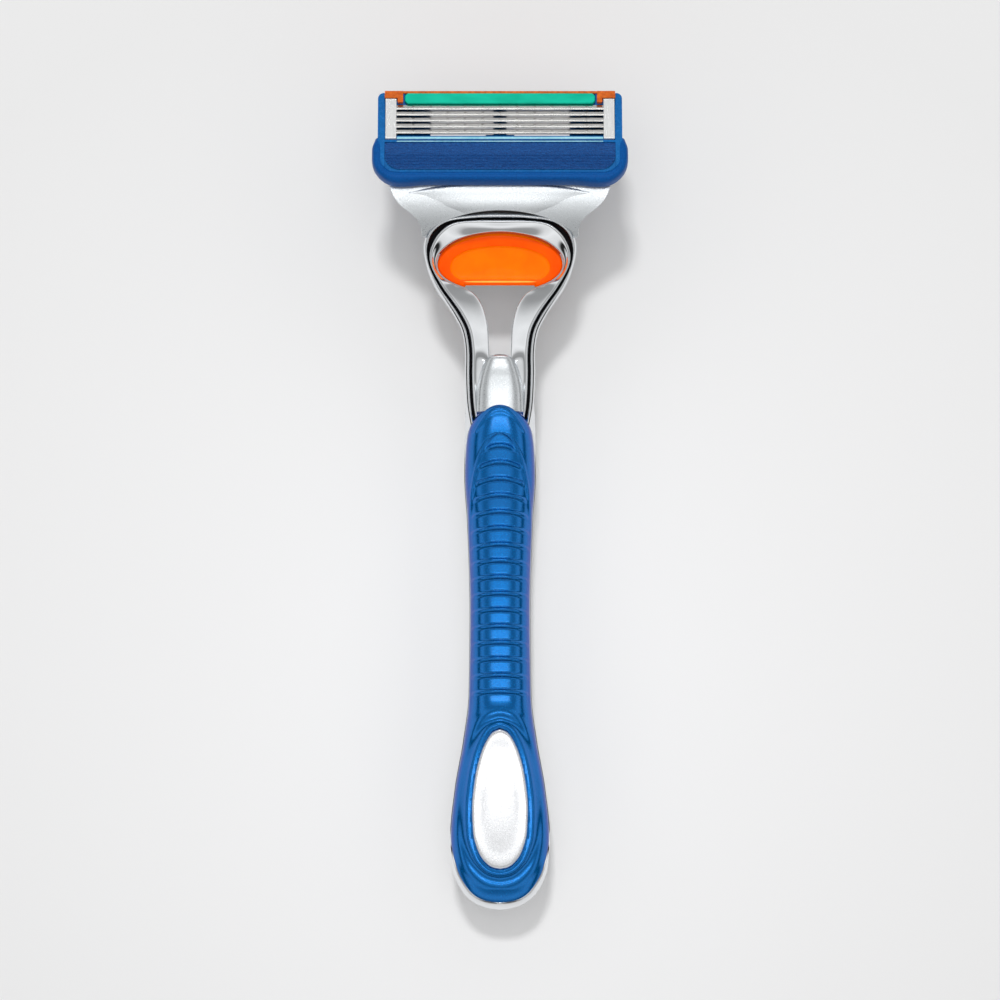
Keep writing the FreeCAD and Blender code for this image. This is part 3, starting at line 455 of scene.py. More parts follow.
GRIP = track(  # y, half width, low z, high z
    [
        (-70.1, 0.5, 7.7, 8.4),
        (-70.0, 2.1, 6.9, 9.3),
        (-69.0, 4.42, 5.7, 10.66),
        (-66.9, 6.42, 4.4, 11.74),
        (-63.0, 7.98, 2.9, 12.55),
        (-58.0, 8.33, 1.9, 12.9),
        (-50.0, 7.58, 1.0, 12.65),
        (-42.0, 6.18, 0.5, 11.9),
        (-34.0, 5.23, 0.2, 11.1),
        (-20.0, 5.08, 0.0, 10.9),
        (-5.0, 5.48, 0.2, 11.5),
        (3.0, 5.98, 0.8, 12.5),
        (8.0, 5.8, 1.6, 13.1),
        (10.8, 5.35, 2.4, 13.3),
        (12.6, 4.5, 3.4, 13.35),
        (14.0, 3.3, 5.0, 13.2),
        (14.7, 2.0, 7.0, 12.8),
        (15.0, 0.7, 9.0, 12.3),
    ]
)
PARTING = track(  # y, height of the line between the grip and the casing
    [
        (-72.0, 10.9),
        (-66.0, 10.6),
        (-63.0, 10.2),
        (-60.0, 9.0),
        (-57.0, 7.2),
        (-45.0, 5.9),
        (-30.0, 5.5),
        (-10.0, 5.6),
        (2.0, 6.1),
        (6.0, 6.9),
        (10.0, 8.0),
        (14.0, 8.9),
        (17.0, 9.3),
    ]
)


def crossing(low, high, level):
    """The angle at which a rounded section passes a level."""
    middle, reach = (low + high) / 2, (high - low) / 2
    share = min(max((level - middle) / reach, -1.0), 1.0)
    return math.asin(math.copysign(abs(share) ** (ROUNDNESS / 2), share))


def spaced(start, end, fine, coarse, ease_length):
    """Stations from start to end, fine near both ends."""
    stations = [start]
    while stations[-1] < end:
        near = min(stations[-1] - start, end - stations[-1])
        step = fine + (coarse - fine) * min(max(near / ease_length, 0), 1)
        stations.append(stations[-1] + step)
    stations[-1] = end
    return stations


SEAM = 0.12  # how far the casing's edge stays below the parting line
SHELL_COUNT, SEAT_COUNT, SEAT_DIP = 72, 14, 0.35


def casing_shell():
    """The chrome shell: rounded below, with a shallow seat for the grip along the parting line."""
    rings = []
    for y in spaced(TAIL_Y, 21.6, 0.03, 0.6, 4.0):
        half, low, high = CASING(y)
        level = PARTING(y)[0] - SEAM
        turn = crossing(low, high, level)
        ring = []
        for k in range(SHELL_COUNT + 1):
            angle = turn - (math.pi + 2 * turn) * k / SHELL_COUNT
            across, up = hoop(half, low, high, angle)
            ring.append(row(across, y, up))
        left, right = ring[-1], ring[0]
        for k in range(1, SEAT_COUNT):
            share = k / SEAT_COUNT
            dip = SEAT_DIP * math.sin(math.pi * share) ** 0.5 if level < high else 0
            ring.append(left.lerp(right, share) - Vector((0, 0, dip)) * MM)
        rings.append(ring)
    obj = piece("casing_shell", *skin(rings), MATERIALS["chrome"], "handle", "chrome")
    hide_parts("handle_casing")


# ---- the grip's surface detail ----
RIB_FIRST, RIB_PITCH, RIB_COUNT = 7.9, 2.76, 16
RIB_HEIGHT, RIB_WIDTH = 0.42, 0.62
PANEL_SINK, PANEL_LIP = 0.22, 0.2
PANEL = track(  # y, half width of the ribbed panel
    [(-35.0, 5.0), (-20.0, 5.0), (-8.0, 5.15), (-1.0, 4.7), (4.0, 3.8), (7.5, 2.6), (9.4, 1.3), (10.1, 0.0)]
)
BADGE_LOW, BADGE_HIGH, BADGE_MIDDLE = -63.3, -39.8, -52.0
BADGE = track(  # y, half width of the badge's outline
    [
        (BADGE_LOW, 0.0),
        (-63.1, 1.1),
        (-62.5, 2.15),
        (-60.6, 3.6),
        (-57.0, 4.6),
        (-53.0, 4.75),
        (-48.0, 4.25),
        (-44.0, 3.3),
        (-41.2, 2.0),
        (-40.2, 1.1),
        (BADGE_HIGH, 0.0),
    ]
)


def badge_outline(count):
    """The badge's outline as (x, y) points, evenly spaced."""
    right = [(BADGE(y)[0], y) for y in np.linspace(BADGE_LOW, BADGE_HIGH, 160)]
    loop = right + [(-x, y) for x, y in right[::-1][1:-1]]
    loop.append(loop[0])
    table = np.array(loop)
    along = np.concatenate([[0], np.cumsum(np.linalg.norm(np.diff(table, axis=0), axis=1))])
    at = np.linspace(0, along[-1], count, endpoint=False)
    return np.column_stack([np.interp(at, along, table[:, k]) for k in (0, 1)])


BADGE_EDGE = badge_outline(240)


def badge_distance(x, y):
    """Distance from the badge's outline, negative inside it."""
    away = float(np.min(np.hypot(BADGE_EDGE[:, 0] - x, BADGE_EDGE[:, 1] - y)))
    inside = BADGE_LOW < y < BADGE_HIGH and abs(x) < BADGE(y)[0]
    return -away if inside else away


def panel_relief(x, y):
    """The sunken panel with its bowed ribs and its raised edge."""
    edge = PANEL(y)[0]
    if edge <= 0.1:
        return 0.0
    tail = ease(-37.5, -35.0, y)
    ridge = 0.0
    for k in range(RIB_COUNT):
        centre = RIB_FIRST - RIB_PITCH * k
        bow = 0.10 / (1 + 0.55 * k) + 0.012
        ridge = max(ridge, bump(y - (centre - bow * x * x), RIB_WIDTH))
    height = -PANEL_SINK * ease(0.25, -0.25, abs(x) - edge) * tail
    height += RIB_HEIGHT * ridge * ease(0.35, -0.9, abs(x) - edge)
    return height + PANEL_LIP * bump(abs(x) - edge - 0.3, 0.45) * tail


def badge_relief(x, y):
    """The recess under the badge, and the soft waves round it."""
    away = badge_distance(x, y)
    if away < 0.02:
        return -0.9
    return 0.34 * bump(away - 0.75, 0.75) - 0.16 * bump(away - 1.9, 0.75) + 0.10 * bump(away - 3.0, 0.9)


def grip_relief(x, y):
    """How far the grip's surface stands proud of its plain form, in millimetres."""
    height = 0.0
    if y > -38:
        height += panel_relief(x, y)
    if y > 10:
        height += 0.16 * bump(y - 14.1 + 0.22 * x * x, 0.8)
    if -66.5 < y < -34:
        height += badge_relief(x, y)
    return height


GRIP_COUNT = 110
SKIRT_IN, SKIRT_DOWN = 0.5, 0.45


def front_grip():
    """The blue overmould, from the parting line up over the front of the handle."""
    rings = []
    tail = next(y for y in np.arange(-70.0, -60.0, 0.01) if GRIP(y)[2] > PARTING(y)[0] + 0.02)
    for y in spaced(tail, 15.0, 0.03, 0.13, 2.0):
        half, low, high = GRIP(y)
        level = PARTING(y)[0]
        turn = crossing(low, high, level)
        ring = []
        for k in range(GRIP_COUNT + 1):
            angle = turn + (math.pi - 2 * turn) * k / GRIP_COUNT
            across, up = hoop(half, low, high, angle)
            slope = max(math.sin(angle), 0.0)
            lift = grip_relief(across, y) * slope**0.6 if level < high else 0
            lift -= 0.06 * (bump(k / GRIP_COUNT, 0.02) + bump(1 - k / GRIP_COUNT, 0.02))
            ring.append(row(across + lift * math.cos(angle) * 0.6, y, up + lift * slope))
        # the skirt, which turns inwards and lies below the casing's edge
        side, bottom = hoop(half, low, high, turn)[0], min(level, high) - SKIRT_DOWN
        ring.append(row(SKIRT_IN - side, y, bottom))
        ring.append(row(side - SKIRT_IN, y, bottom))
        rings.append(ring)
    obj = piece("front_grip_skin", *skin(rings), MATERIALS["blue_elastomer"], "handle", "blue_elastomer")
    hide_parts("front_grip")


def grip_height(x, y):
    """The plain grip's height above a point of its plan."""
    half, low, high = GRIP(y)
    share = min(abs(x) / half, 1.0)
    return (low + high) / 2 + (high - low) / 2 * (1 - share**ROUNDNESS) ** (1 / ROUNDNESS)


def badge():
    """A silver egg with a rounded rim and a shallow hollow, set into the grip."""
    rings = []
    # each level: size as a share of the outline, height over the grip
    levels = [(1.0, -0.9), (0.995, -0.15), (0.985, -0.03), (0.965, 0.04), (0.94, 0.06), (0.90, 0.03)]
    levels += [(0.84, -0.05), (0.78, -0.14), (0.72, -0.2), (0.6, -0.21), (0.45, -0.2)]
    levels += [(share, -0.19) for share in (0.3, 0.15, 0.02)]
    for share, lift in levels:
        ring = []
        for x, y in BADGE_EDGE:
            px, py = x * share, BADGE_MIDDLE + (y - BADGE_MIDDLE) * share
            ring.append(row(px, py, grip_height(px, py) + lift))
        rings.append(ring)
    obj = piece("badge_shell", *skin(rings), MATERIALS["badge_silver"], "handle", "badge_silver")
    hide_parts("badge")


# ---- neck insert ----
INSERT = track(  # y, half width, low z, high z
    [
        (13.8, 4.1, 8.4, 12.55),
        (17.0, 3.95, 8.7, 12.6),
        (19.5, 3.5, 9.1, 12.75),
        (21.6, 2.85, 9.6, 12.95),
        (22.65, 2.35, 10.2, 12.95),
        (23.2, 1.7, 10.9, 12.75),
        (23.45, 0.9, 11.4, 12.4),
        (23.55, 0.2, 11.7, 12.1),
    ]
)


def neck_insert():
    """The satin tongue between the fork's legs."""
    rings = []
    for y in spaced(13.8, 23.55, 0.04, 0.3, 2.5):
        half, low, high = INSERT(y)
        ring = []
        for k in range(64):
            across, up = hoop(half, low, high, 2 * math.pi * k / 64, 2.7)
            ring.append(row(across, y, up))
        rings.append(ring)
    obj = piece("neck_insert_shell", *skin(rings), MATERIALS["satin_metal"], "handle", "satin_metal")
    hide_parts("neck_insert")


# ---- fork ----
# each line: outer edge x, y; inner edge x, y; low z, crest z
FORK_RIGHT = [
    (5.1, 11.0, 1.9, 11.0, 3.6, 9.8),
    (5.75, 15.0, 1.75, 15.0, 3.6, 10.5),
    (6.0, 20.0, 1.75, 20.0, 4.4, 11.2),
    (6.0, 24.2, 1.8, 24.2, 5.8, 12.0),
    (6.5, 27.3, 2.0, 28.2, 7.1, 12.7),
    (7.8, 29.9, 2.75, 31.4, 8.0, 13.4),
    (9.5, 32.4, 4.0, 33.4, 8.7, 14.1),
    (10.75, 34.2, 5.55, 34.35, 9.1, 14.7),
    (11.95, 36.6, 8.85, 35.55, 9.5, 15.4),
    (12.7, 39.2, 10.6, 37.4, 10.0, 16.2),
    (12.9, 41.6, 10.4, 39.8, 11.2, 17.0),
    (11.9, 44.0, 8.3, 41.7, 13.6, 17.8),
    (9.4, 45.7, 5.9, 42.7, 15.5, 18.3),
    (5.0, 46.55, 3.0, 43.3, 16.3, 18.55),
    (0.0, 46.8, 0.0, 43.5, 16.5, 18.65),
]


FORK_STATIONS = 260
GAP_SHADE_FACES = (11, 12, 13)


def fork_path():
    """Both legs and the head's ring as one run of stations, from one neck to the other."""
    mirrored = [(-a, b, -c, d, e, f) for a, b, c, d, e, f in FORK_RIGHT[:-1]]
    return flow(FORK_RIGHT + mirrored[::-1], FORK_STATIONS)


def rim_width(x, y):
    """The outer rim is a little wider where it passes in front of the button."""
    return 0.9 + 0.15 * ease(10.5, 6.0, abs(x)) * ease(38.0, 42.0, y)


def fork_frame():
    """The fork's outer wall with a rounded rim, and its underside."""
    rings = []
    for xo, yo, xi, yi, low, crest in fork_path():
        outer, inner = Vector((xo, yo, 0)), Vector((xi, yi, 0))
        width = (inner - outer).length
        way = (inner - outer) / width
        middle = low + (crest - low) * 0.45
        rim = rim_width(xo, yo)
        # under the visor the wall stays clear of the button, which slides in there
        wall = width - (width - rim - 1.3) * ease(36.5, 39.0, yo)
        profile = [
            (0.02, middle),
            (0.0, low + (crest - low) * 0.7),
            (rim * 0.02, crest - 0.80),
            (rim * 0.07, crest - 0.50),
            (rim * 0.14, crest - 0.06 - rim * 0.31),
            (rim * 0.32, crest - 0.06 - rim * 0.155),
            (rim * 0.50, crest - 0.06),
            (rim * 0.60, crest - 0.02),
            (rim * 0.70, crest - 0.02),
            (rim * 0.82, crest - 0.10),
            (rim * 0.92, crest - 0.30),
            (rim * 0.98, crest - 0.60),
            (rim, crest - 1.3),
            (wall * 0.55, crest - 1.5),
            (wall - 0.25, crest - 1.9),
            (wall - 0.12, middle - 0.2),
            (wall - 0.35, low + 0.65),
            (wall - 0.9, low + 0.18),
            (wall * 0.5, low),
            (0.9, low + 0.18),
            (0.35, low + 0.65),
            (0.10, low + 1.4),
        ]
        rings.append([row(*(outer + way * a)[:2], z) for a, z in profile])
    obj = piece("fork_frame", *skin(rings), MATERIALS["chrome"], "handle", "chrome")
    # the faces between the rim and the ring lie in a narrow gap; their near-black material is painted shade
    obj.data.materials.append(MATERIALS["gap_painted_shade"])
    for polygon in obj.data.polygons:
        if polygon.index % len(profile) in GAP_SHADE_FACES:
            polygon.material_index = 1
    smooth_more(obj)


def front_bezel():
    """The bright inner rim, and the wide slope from it down to the opening and the button."""
    rings = []
    for xo, yo, xi, yi, _, crest in fork_path():
        outer, inner = Vector((xo, yo, 0)), Vector((xi, yi, 0))
        width = (inner - outer).length
        way = (inner - outer) / width
        corner = bump(yo - 43.6, 4.2) * bump(abs(xo) - 11.2, 4.6)
        start = rim_width(xo, yo) + 0.28 + 0.5 * corner
        leg = ease(36.0, 31.0, yo)
        neck = ease(25.5, 22.0, yo)
        drop = 0.72 + 0.65 * leg + 0.4 * corner - 1.1 * neck
        bend = 1.5 - 0.4 * max(leg, corner)
        edge = width - 0.02
        first, run = start + 0.66, edge - start - 0.78
        slope = [(first + run * t, crest - 0.12 - drop * (1 - (1 - t) ** bend)) for t in (0.25, 0.5, 0.75)]
        profile = [
            (start, crest - 1.5),
            (start + 0.02, crest - 0.55),
            (start + 0.08, crest - 0.16),
            (start + 0.20, crest + 0.02),
            (start + 0.36, crest + 0.02),
            (start + 0.52, crest - 0.04),
            (start + 0.66, crest - 0.12),
            *slope,
            (edge - 0.12, crest - 0.16 - drop),
            (edge - 0.02, crest - 0.22 - drop),
            (edge - 0.05, crest - 0.8 - drop),
            (edge - 0.3, crest - 1.1 - drop),
            (start + 0.3, crest - 1.9),
        ]
        rings.append([row(*(outer + way * a)[:2], z) for a, z in profile])
    obj = piece("front_bezel_ring", *skin(rings), MATERIALS["chrome"], "handle", "chrome")
    smooth_more(obj)
    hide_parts("front_bezel")


# ---- release button ----
BUTTON_HALF, BUTTON_MIDDLE = 10.6, -2.0
BUTTON_FRONT_DEPTH, BUTTON_BACK_DEPTH = 5.35, 4.6
BUTTON_CUT_S, BUTTON_CUT_HALF = -5.5, 6.0
BUTTON_TOP = 1.8
DISH_MIDDLE, DISH_FLOOR, DISH_REACH, DISH_RIM = -2.3, 1.34, 8.5, 1.74
LIP_S, LIP_HALF, LIP_RADIUS = -4.55, 6.2, 0.17


def button_outline(count, shrink):
    """The button's outline: two half ovals with a straight cut at the back."""
    points = []
    for k in range(count):
        angle = 2 * math.pi * k / count
        depth = BUTTON_FRONT_DEPTH if math.sin(angle) > 0 else BUTTON_BACK_DEPTH
        x = (BUTTON_HALF - shrink) * math.cos(angle)
        s = BUTTON_MIDDLE + (depth - shrink) * math.sin(angle)
        if abs(x) < BUTTON_CUT_HALF:
            s = max(s, BUTTON_CUT_S + shrink)
        points.append((x, s))
    return points


def dish_outline(count, grow):
    """The dish in the button: a flat oval cut off by its straight lower lip."""
    points = []
    for k in range(count):
        angle = 2 * math.pi * k / count
        depth = 3.75 if math.sin(angle) > 0 else 3.4
        c, t = math.cos(angle), math.sin(angle)
        x = (8.55 + grow) * math.copysign(abs(c) ** 0.92, c)
        s = DISH_MIDDLE + (depth + grow) * math.copysign(abs(t) ** 0.92, t)
        points.append((x, max(s, LIP_S - grow)))
    return points


def release_button():
    """The translucent push button, with a flat rim round a shallow dish."""
    count = 240
    rings = []
    levels = [(0.0, 0.78), (0.0, 1.35), (0.04, 1.55), (0.14, 1.70), (0.30, 1.78), (0.5, BUTTON_TOP)]
    for shrink, n in levels:
        rings.append([head(x, s, n) for x, s in button_outline(count, shrink)])
    start, end = button_outline(count, 0.5), dish_outline(count, 0.12)
    for share in (0.33, 0.66, 1.0):
        ring = []
        for (x0, s0), (x1, s1) in zip(start, end):
            x, s = x0 + (x1 - x0) * share, s0 + (s1 - s0) * share
            ring.append(head(x, s, BUTTON_TOP))
        rings.append(ring)
    for grow, n in ((0.0, 1.78), (-0.12, 1.68), (-0.25, 1.52), (-0.42, 1.40), (-0.7, DISH_FLOOR)):
        rings.append([head(x, s, n) for x, s in dish_outline(count, grow)])
    last = dish_outline(count, -0.7)
    for share in (0.85, 0.6, 0.35, 0.1):
        n = DISH_FLOOR - 0.14 * (1 - share)
        rings.append([head(x * share, DISH_MIDDLE + (s - DISH_MIDDLE) * share, n) for x, s in last])
    obj = piece("release_button_pad", *skin(rings), MATERIALS["button_orange"], "button", "button_orange")
    # the dish's faces take the lighter copy of the plastic, which is painted light
    obj.data.materials.append(MATERIALS["dish_orange_lit"])
    rim = HEAD_ORIGIN.dot(DOCK_NORMAL) + DISH_RIM
    for polygon in obj.data.polygons:
        corners = [obj.data.vertices[k].co for k in polygon.vertices]
        x_most = max(abs(c.x) for c in corners) / MM
        if x_most < DISH_REACH and all(c.dot(DOCK_NORMAL) / MM < rim for c in corners):
            polygon.material_index = 1
    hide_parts("release_button")


def button_lip():
    """The raised lip along the dish's straight edge, which catches the light; its lighter orange and its glow are
    a painted highlight.
    """
    rings = []
    for k in range(49):
        q = 2 * k / 48 - 1
        radius = LIP_RADIUS * max(1 - abs(q) ** 6, 0.04)
        ring = []
        for j in range(12):
            angle = 2 * math.pi * j / 12
            s = LIP_S - 0.22 + radius * math.cos(angle)
            ring.append(head(LIP_HALF * q, s, BUTTON_TOP + radius * math.sin(angle)))
        rings.append(ring)
    piece("button_lip", *skin(rings), MATERIALS["lip_orange_highlight"], "button", "button_orange")


# ---- connecting member ----
MEMBER_FRONT, MEMBER_REAR_HALF = 12.85, 13.2
MEMBER_SIDE = track(  # s, half width
    [(2.0, 13.22), (3.1, 13.22), (5.2, 13.37), (7.0, 14.72), (8.5, 16.62), (10.4, 18.02), (12.9, 18.66)]
)
MEMBER_TOP = track([(-2.0, 3.3), (4.0, 3.5), (8.0, 3.35), (10.5, 2.82), (12.0, 2.38), (13.8, 1.85)])
EDGE_ROUND, EDGE_STEPS, EDGE_SKIRT = 0.75, 6, 1.3


def rear_arc(x):
    """Where the connecting member's rear edge lies at x."""
    return -0.28 + 8.0 * math.sqrt(max(1 - (x / 14.5) ** 2, 0))


def member_cover():
    """The satin cover of the connecting member, with a crease just behind the guard."""
    turned = [(EDGE_ROUND, EDGE_ROUND + EDGE_SKIRT)]
    for k in range(EDGE_STEPS, 0, -1):
        angle = math.pi / 2 * k / EDGE_STEPS
        turned.append((EDGE_ROUND * math.sin(angle), EDGE_ROUND * (1 - math.cos(angle))))
    rings = []
    rows, columns = 30, 96
    for i in range(rows + 1):
        top = []
        for j in range(columns + 1):
            q = 2 * j / columns - 1
            start = rear_arc(MEMBER_REAR_HALF * q)
            s = start + (MEMBER_FRONT - start) * i / rows
            crease = 12.1 - 1.9 * q**2
            n = MEMBER_TOP(s)[0] - 0.55 * max(0.0, s - crease)
            n -= 0.6 * ease(0.2, 1.0, abs(q)) ** 1.3 * ease(13.0, 5.0, s)
            top.append((q * (MEMBER_SIDE(s)[0] - EDGE_ROUND), s, n))
        left, right = top[0], top[-1]
        ring = [(left[0] - out, left[1], left[2] - down) for out, down in turned] + top
        ring += [(right[0] + out, right[1], right[2] - down) for out, down in turned[::-1]]
        rings.append(ring)
    rear = [(x, s + 0.02, n - 0.12) for x, s, n in rings[0]]
    rear_low = [(x, s + 0.05, n - 1.2) for x, s, n in rings[0]]
    lifted = [(x, s + 0.12, n) for x, s, n in rings[0]]
    front_low = [(x, s, n - 0.8) for x, s, n in rings[-1]]
    rings = [rear_low, rear, lifted] + rings[1:] + [front_low]
    shaped = [[head(x, s, n) for x, s, n in ring] for ring in rings]
    satin = MATERIALS["satin_metal"]
    piece("member_cover", *skin(shaped, closed=False), satin, "connector", "satin_metal")


# ---- guard ----
FACE = 3.0
GUARD_HALF, GUARD_FRONT, GUARD_BACK = 21.4, -3.15, 4.5
FIELD_HALF, FIELD_FRONT, FIELD_BACK = 19.25, -1.2, 3.46
FIELD_TOP = 2.74
FIN_COUNT, FIN_PITCH, FIN_FIRST, TALL_FINS = 9, 0.5, -0.75, 5
BAR_HALF, BAR_LOW = 17.2, 2.80


def wrap_path(inset):
    """A U in plan round the cartridge's front, set in by inset: from the right side to the left."""
    half, front = GUARD_HALF - inset, GUARD_FRONT + inset * 0.92
    radius = max(4.0 - inset, 2.3)
    points = []
    for v in np.linspace(GUARD_BACK, front + radius, 8)[:-1]:
        points.append((half, v))
    for k in range(17):
        angle = math.pi / 2 * k / 16
        points.append((half - radius + radius * math.cos(angle), front + radius - radius * math.sin(angle)))
    middle = [(x, front) for x in np.linspace(half - radius, -(half - radius), 30)[1:-1]]
    return points + middle + [(-x, v) for x, v in points[::-1]]


def guard_bumper():
    """The soft bumper that wraps the front and the sides of the housing."""
    rings = []
    profile = [  # inwards from the outer edge, height
        (1.5, -0.70),
        (0.9, -0.72),
        (0.45, -0.64),
        (0.14, -0.35),
        (0.0, 0.2),
        (-0.02, 0.9),
        (0.0, 1.6),
        (0.06, 2.2),
        (0.24, 2.68),
        (0.55, 2.93),
        (0.95, 3.0),
        (1.3, 2.98),
        (1.5, 2.88),
        (1.66, 2.68),
        (1.70, 2.45),
    ]
    for inset, w in profile:
        ring = []
        for x, v in wrap_path(inset):
            tail = ease(2.6, GUARD_BACK, v)
            pull = 0.55 * tail if inset < 0.8 else 0.0
            sag = 0.35 * bump(abs(x) - 16.5, 4.5) * ease(0.0, -2.5, v) * ease(0.6, 0.0, inset)
            ring.append(cart(math.copysign(abs(x) - pull, x), v - sag, w - 0.15 * tail))
        rings.append(ring)
    vertices, faces = skin(rings, closed=False)
    n, count = len(rings[0]), len(rings)
    faces.append(tuple(k * n for k in range(count)))
    faces.append(tuple(k * n + n - 1 for k in range(count)))
    for j in range(n - 1):
        faces.append((j, j + 1, (count - 1) * n + j + 1, (count - 1) * n + j))
    obj = piece("guard_bumper", vertices, faces, MATERIALS["guard_blue"], "blade_unit", "guard_blue")
    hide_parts("guard_strip")
    smooth_more(obj)


def field_half_at(v):
    """The fin field's half width, with rounded front corners."""
    radius = 2.5
    short = max(radius - (v - FIELD_FRONT), 0.0)
    return FIELD_HALF - radius + math.sqrt(max(radius**2 - min(short, radius) ** 2, 0.0))


def guard_fins():
    """The soft bed in front of the blades, with its rows of slightly wavy fins."""
    rng = np.random.default_rng(5)
    waves = rng.uniform(0, 2 * math.pi, (FIN_COUNT + 2, 3))
    rings = []
    stations = np.linspace(FIELD_FRONT + 0.02, FIELD_BACK, 110)
    columns = 420
    pebbles = rng.uniform(0, 0.035, (columns + 1, len(stations)))
    for v in stations:
        half = field_half_at(v) - 0.02
        ring = []
        for j in range(columns + 1):
            x = half * (2 * j / columns - 1)
            height = 0.0
            for k in range(FIN_COUNT):
                sway = 0.03 * math.sin(x * 1.1 + waves[k, 0]) + 0.018 * math.sin(x * 3.7 + waves[k, 1])
                share = 1.0 if k < TALL_FINS else 0.45
                height = max(height, share * bump(v - (FIN_FIRST + FIN_PITCH * k) - sway, 0.21))
            ring.append(cart(x, v, FIELD_TOP + 0.18 * height + pebbles[j, len(rings)]))
        rings.append(ring)
    # the fins take the darker blue, which is painted shade
    piece("guard_fins", *skin(rings, closed=False), MATERIALS["fin_blue_shaded"], "blade_unit", "guard_blue")


def guard_bar():
    """The double line between the fins and the first blade, in light-blue plastic lightened by a painted
    highlight, with a groove in it painted dark in place of its shadow.
    """
    shapes = []
    soft = 0.06
    for v0, v1, top in ((3.52, 3.70, 3.0), (4.0, 4.38, 3.03)):
        outline = [
            (v0, BAR_LOW),
            (v0, top - soft),
            (v0 + soft, top),
            (v1 - soft, top),
            (v1, top - soft),
            (v1, BAR_LOW),
        ]
        shapes.append(bar_x(cart, outline, BAR_HALF))
    pale_tint_and_highlight, dark = MATERIALS["guard_bar"], MATERIALS["fin_blue_shaded"]
    piece("guard_bar", *solid(shapes), pale_tint_and_highlight, "blade_unit", "housing_blue", smooth=False)
    # the groove takes the fins' darker blue: painted shade
    groove = bar_x(cart, [(3.70, BAR_LOW), (3.70, 2.93), (3.94, 2.93), (3.94, BAR_LOW)], BAR_HALF)
    piece("guard_groove", *groove, dark, "blade_unit", "guard_blue", smooth=False)


# ---- blades and their small detail ----
FIRST_EDGE, BLADE_PITCH, BLADE_LEAN = 4.95, 1.05, math.radians(21.5)
WELD_PITCH, WELD_COUNT = 2.9, 11


def weld_spots(k):
    """The row of tiny weld marks along one blade, behind its cutting edge."""
    shapes = []
    c, s = math.cos(BLADE_LEAN), math.sin(BLADE_LEAN)
    back, rise = 0.66, 0.05
    for i in range(WELD_COUNT):
        x = WELD_PITCH * (i - (WELD_COUNT - 1) / 2)
        rings = []
        for radius, lift in ((0.17, -0.01), (0.165, 0.006), (0.12, 0.016), (0.05, 0.012)):
            ring = []
            for j in range(16):
                angle = 2 * math.pi * j / 16
                a, b = back + radius * 0.8 * math.sin(angle), rise + lift
                v = FIRST_EDGE + BLADE_PITCH * k + a * c + b * s
                ring.append(cart(x + radius * 1.5 * math.cos(angle), v, FACE - a * s + b * c))
            rings.append(ring)
        shapes.append(skin(rings))
    body = f"blade_{k + 1}_carriage"
    piece(f"weld_spots_{k + 1}", *solid(shapes), MATERIALS["weld_steel"], body, "blade_steel")


# ---- lights, floor and camera ----
def white_floor():
    """A matt floor with a painted pool of light: lighter near the razor, slightly darker away from it."""
    bpy.ops.mesh.primitive_plane_add(size=3.0)
    floor = bpy.context.object
    floor.name = "floor"
    material = new_material("floor_white", (0.86, 0.86, 0.865), 0.0, 0.8, Specular_IOR_Level=0.1)
    coordinates = add(material, "ShaderNodeTexCoord")
    distance = add(material, "ShaderNodeVectorMath")
    distance.operation = "DISTANCE"
    distance.inputs[1].default_value = (0, -0.03, 0)
    link(material, coordinates.outputs["Object"], distance.inputs[0])
    painted_light_pool = add(material, "ShaderNodeValToRGB")
    painted_light_pool.color_ramp.elements[0].color = (0.875, 0.875, 0.88, 1)
    painted_light_pool.color_ramp.elements[1].color = (0.79, 0.79, 0.79, 1)
    way = spread(material, distance.outputs["Value"], 0.0, 1.0, 0.03, 0.13)
    link(material, way, painted_light_pool.inputs["Fac"])
    link(material, painted_light_pool.outputs["Color"], shader_of(material).inputs["Base Color"])
    floor.data.materials.append(material)


# height of a direction, 1 being straight up, and how bright the surroundings are there
SKY = [(0.0, 0.6), (0.06, 0.5), (0.11, 0.02), (0.26, 0.02), (0.36, 0.9), (0.52, 1.1), (0.62, 0.9)]
SKY += [(0.72, 0.42), (0.86, 0.36), (0.94, 0.9), (1.0, 1.0)]
SKY_STRENGTH = 0.86


def surroundings():
    """A sky in grey bands. Its low dark band is what the chrome's steep slopes mirror."""
    world = bpy.data.worlds.new("studio")
    bpy.context.scene.world = world
    world.use_nodes = True
    nodes, links = world.node_tree.nodes, world.node_tree.links
    background = nodes["Background"]
    coordinates = nodes.new("ShaderNodeTexCoord")
    split = nodes.new("ShaderNodeSeparateXYZ")
    ramp = nodes.new("ShaderNodeValToRGB")
    links.new(coordinates.outputs["Generated"], split.inputs["Vector"])
    links.new(split.outputs["Z"], ramp.inputs["Fac"])
    links.new(ramp.outputs["Color"], background.inputs["Color"])
    elements = ramp.color_ramp.elements
    elements[0].position, elements[1].position = 0.0, 1.0
    for position, _ in SKY[1:-1]:
        elements.new(position)
    for element, (position, value) in zip(elements, SKY):
        element.position = position
        element.color = (value, value, value, 1)
    background.inputs["Strength"].default_value = SKY_STRENGTH


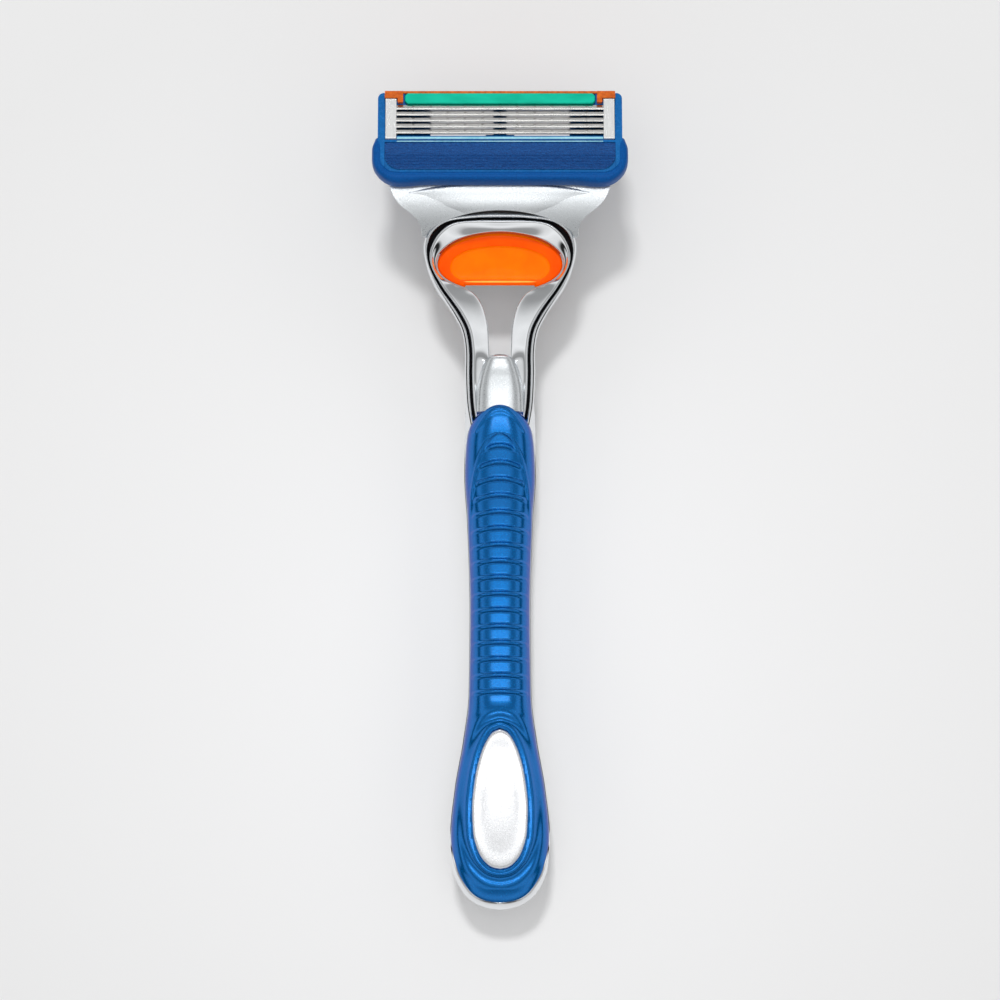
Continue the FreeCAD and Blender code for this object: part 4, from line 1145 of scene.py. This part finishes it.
def lights():
    """The key and the fill light the surfaces and cast the shadows. The others only draw highlights."""
    for name, energy, size, place, target in (
        ("key", 9.8, (0.22, 0.16), (-0.10, 0.82, 1.42), (0, 0.02, 0)),
        ("glints", 0.6, (0.5, 0.10), (0.0, 0.95, 0.62), (0, 0, 0)),
        ("overhead", 0.75, (0.13, 0.7), (0.01, 0.1, 1.0), (0, 0.1, 0)),
        ("fill", 4.2, (1.6, 1.6), (0.0, 0.0, 1.5), (0, 0, 0)),
    ):
        light = bpy.data.lights.new(name, "AREA")
        light.shape = "RECTANGLE"
        light.size, light.size_y = size
        light.energy = energy
        obj = bpy.data.objects.new(name, light)
        obj.location = place
        direction = Vector(target) - Vector(place)
        obj.rotation_euler = direction.to_track_quat("-Z", "Y").to_euler()
        bpy.context.scene.collection.objects.link(obj)
        obj.visible_glossy = name in ("glints", "overhead")
        obj.visible_diffuse = name in ("key", "fill")


CAMERA_TARGET, CAMERA_TARGET_Z = -0.85, 6.0
CAMERA_DISTANCE, CAMERA_WIDTH, CAMERA_TILT = 0.5, 0.17101, math.radians(4.0)
SENSOR = 36.0


def camera():
    """Almost straight above, leaning slightly towards the tail."""
    data = bpy.data.cameras.new("camera")
    obj = bpy.data.objects.new("camera", data)
    away = Vector((0, -math.sin(CAMERA_TILT), math.cos(CAMERA_TILT))) * CAMERA_DISTANCE
    obj.location = row(0, CAMERA_TARGET, CAMERA_TARGET_Z) + away
    obj.rotation_euler = (CAMERA_TILT, 0, 0)
    data.sensor_width = SENSOR
    data.lens = SENSOR * CAMERA_DISTANCE / CAMERA_WIDTH
    data.clip_start = 0.01
    bpy.context.scene.collection.objects.link(obj)
    bpy.context.scene.camera = obj
    bpy.context.scene.view_settings.view_transform = "Standard"


dress_cad_nodes()
casing_shell()
front_grip()
badge()
neck_insert()
fork_frame()
front_bezel()
release_button()
button_lip()
member_cover()
guard_bumper()
guard_fins()
guard_bar()
for number in range(5):
    weld_spots(number)
white_floor()
surroundings()
lights()
camera()
